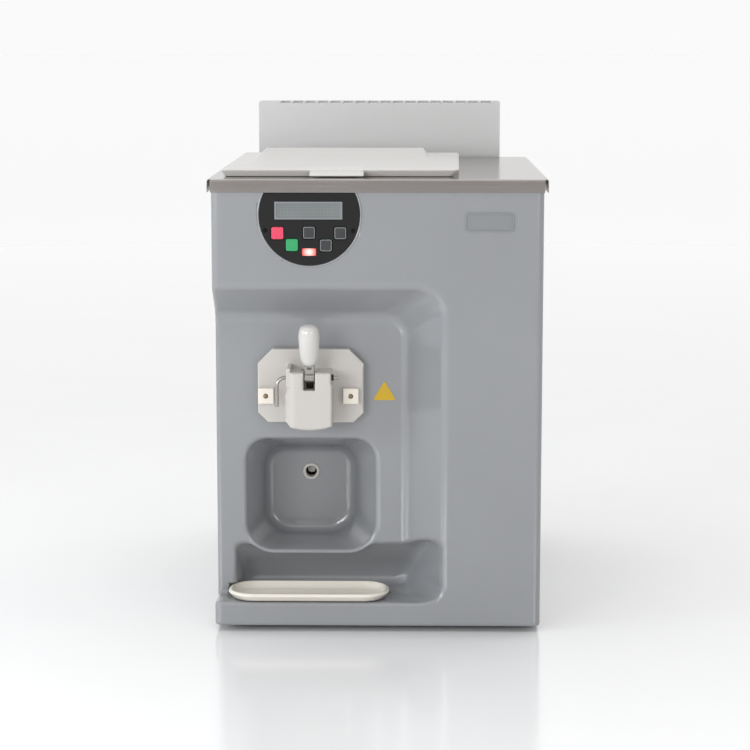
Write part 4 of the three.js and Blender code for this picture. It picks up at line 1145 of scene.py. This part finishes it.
def add_world():
    """A white studio: bright behind and overhead, dimmer on the camera's side."""
    world = bpy.data.worlds.new("studio")
    bpy.context.scene.world = world
    world.use_nodes = True
    tree = world.node_tree
    place = tree.nodes.new("ShaderNodeTexCoord")
    total = None
    for direction, start, end, low, high in (
            ((0, 1, 0), -0.5, 0.35, WORLD_FRONT, WORLD_BACK), ((0, -0.1, 0.99), 0.62, 0.98, 0.0, OVERHEAD)):
        dot = tree.nodes.new("ShaderNodeVectorMath")
        dot.operation = "DOT_PRODUCT"
        dot.inputs[1].default_value = direction
        tree.links.new(place.outputs["Generated"], dot.inputs[0])
        glow = tree.nodes.new("ShaderNodeMapRange")
        glow.interpolation_type = "SMOOTHSTEP"
        for socket, value in zip(("From Min", "From Max", "To Min", "To Max"), (start, end, low, high)):
            glow.inputs[socket].default_value = value
        tree.links.new(dot.outputs["Value"], glow.inputs["Value"])
        if total is None:
            total = glow.outputs["Result"]
        else:
            add = tree.nodes.new("ShaderNodeMath")
            tree.links.new(total, add.inputs[0])
            tree.links.new(glow.outputs["Result"], add.inputs[1])
            total = add.outputs["Value"]
    tree.links.new(total, tree.nodes["Background"].inputs["Strength"])
    tree.nodes["Background"].inputs["Color"].default_value = (1.0, 1.0, 1.0, 1.0)


def add_softbox(name, size, place, aim, power, colour):
    """A soft rectangular panel, seen in reflections but not by the camera."""
    data = bpy.data.lights.new(name, "AREA")
    data.shape = "RECTANGLE"
    data.size, data.size_y = size
    data.energy = power
    data.color = colour
    light = add_object(name, data)
    light.location = place
    light.rotation_euler = (Vector(aim) - Vector(place)).to_track_quat("-Z", "Y").to_euler()
    light.visible_camera = False


def add_lights():
    """Two key panels beside the camera, a weak one above it and a cool one from the left."""
    aim = (0, -0.2, 0.28)
    for name, size, place, power, tint in (
            ("upper_panel", (1.5, 0.8), (0, -2.9, 1.6), 5.0, (1.0, 0.985, 0.965)),
            ("left_key_panel", (1.1, 0.8), (-1.35, -2.8, 0.82), 26.0, (1.0, 0.995, 0.985)),
            ("right_key_panel", (1.1, 0.8), (1.4, -2.8, 0.82), 12.0, (1.0, 0.995, 0.985)),
            ("left_side_panel", (1.2, 0.8), (-2.3, -1.4, 0.82), 20.0, (0.9, 0.96, 1.0))):
        add_softbox(name, size, place, aim, power, tint)


def dress_frame():
    """Gives the nodes that stay in sight the finish of their slot."""
    for entry in frame["record"]["subparts"]:
        node = frame["nodes"].get(entry["node"])
        if node and entry["material_slot"] in MATERIALS:
            for slot in node.material_slots:
                slot.material = MATERIALS[entry["material_slot"]]


add_camera()
add_floor()
add_world()
add_lights()
bpy.context.scene.view_settings.view_transform = "Standard"
dress_frame()
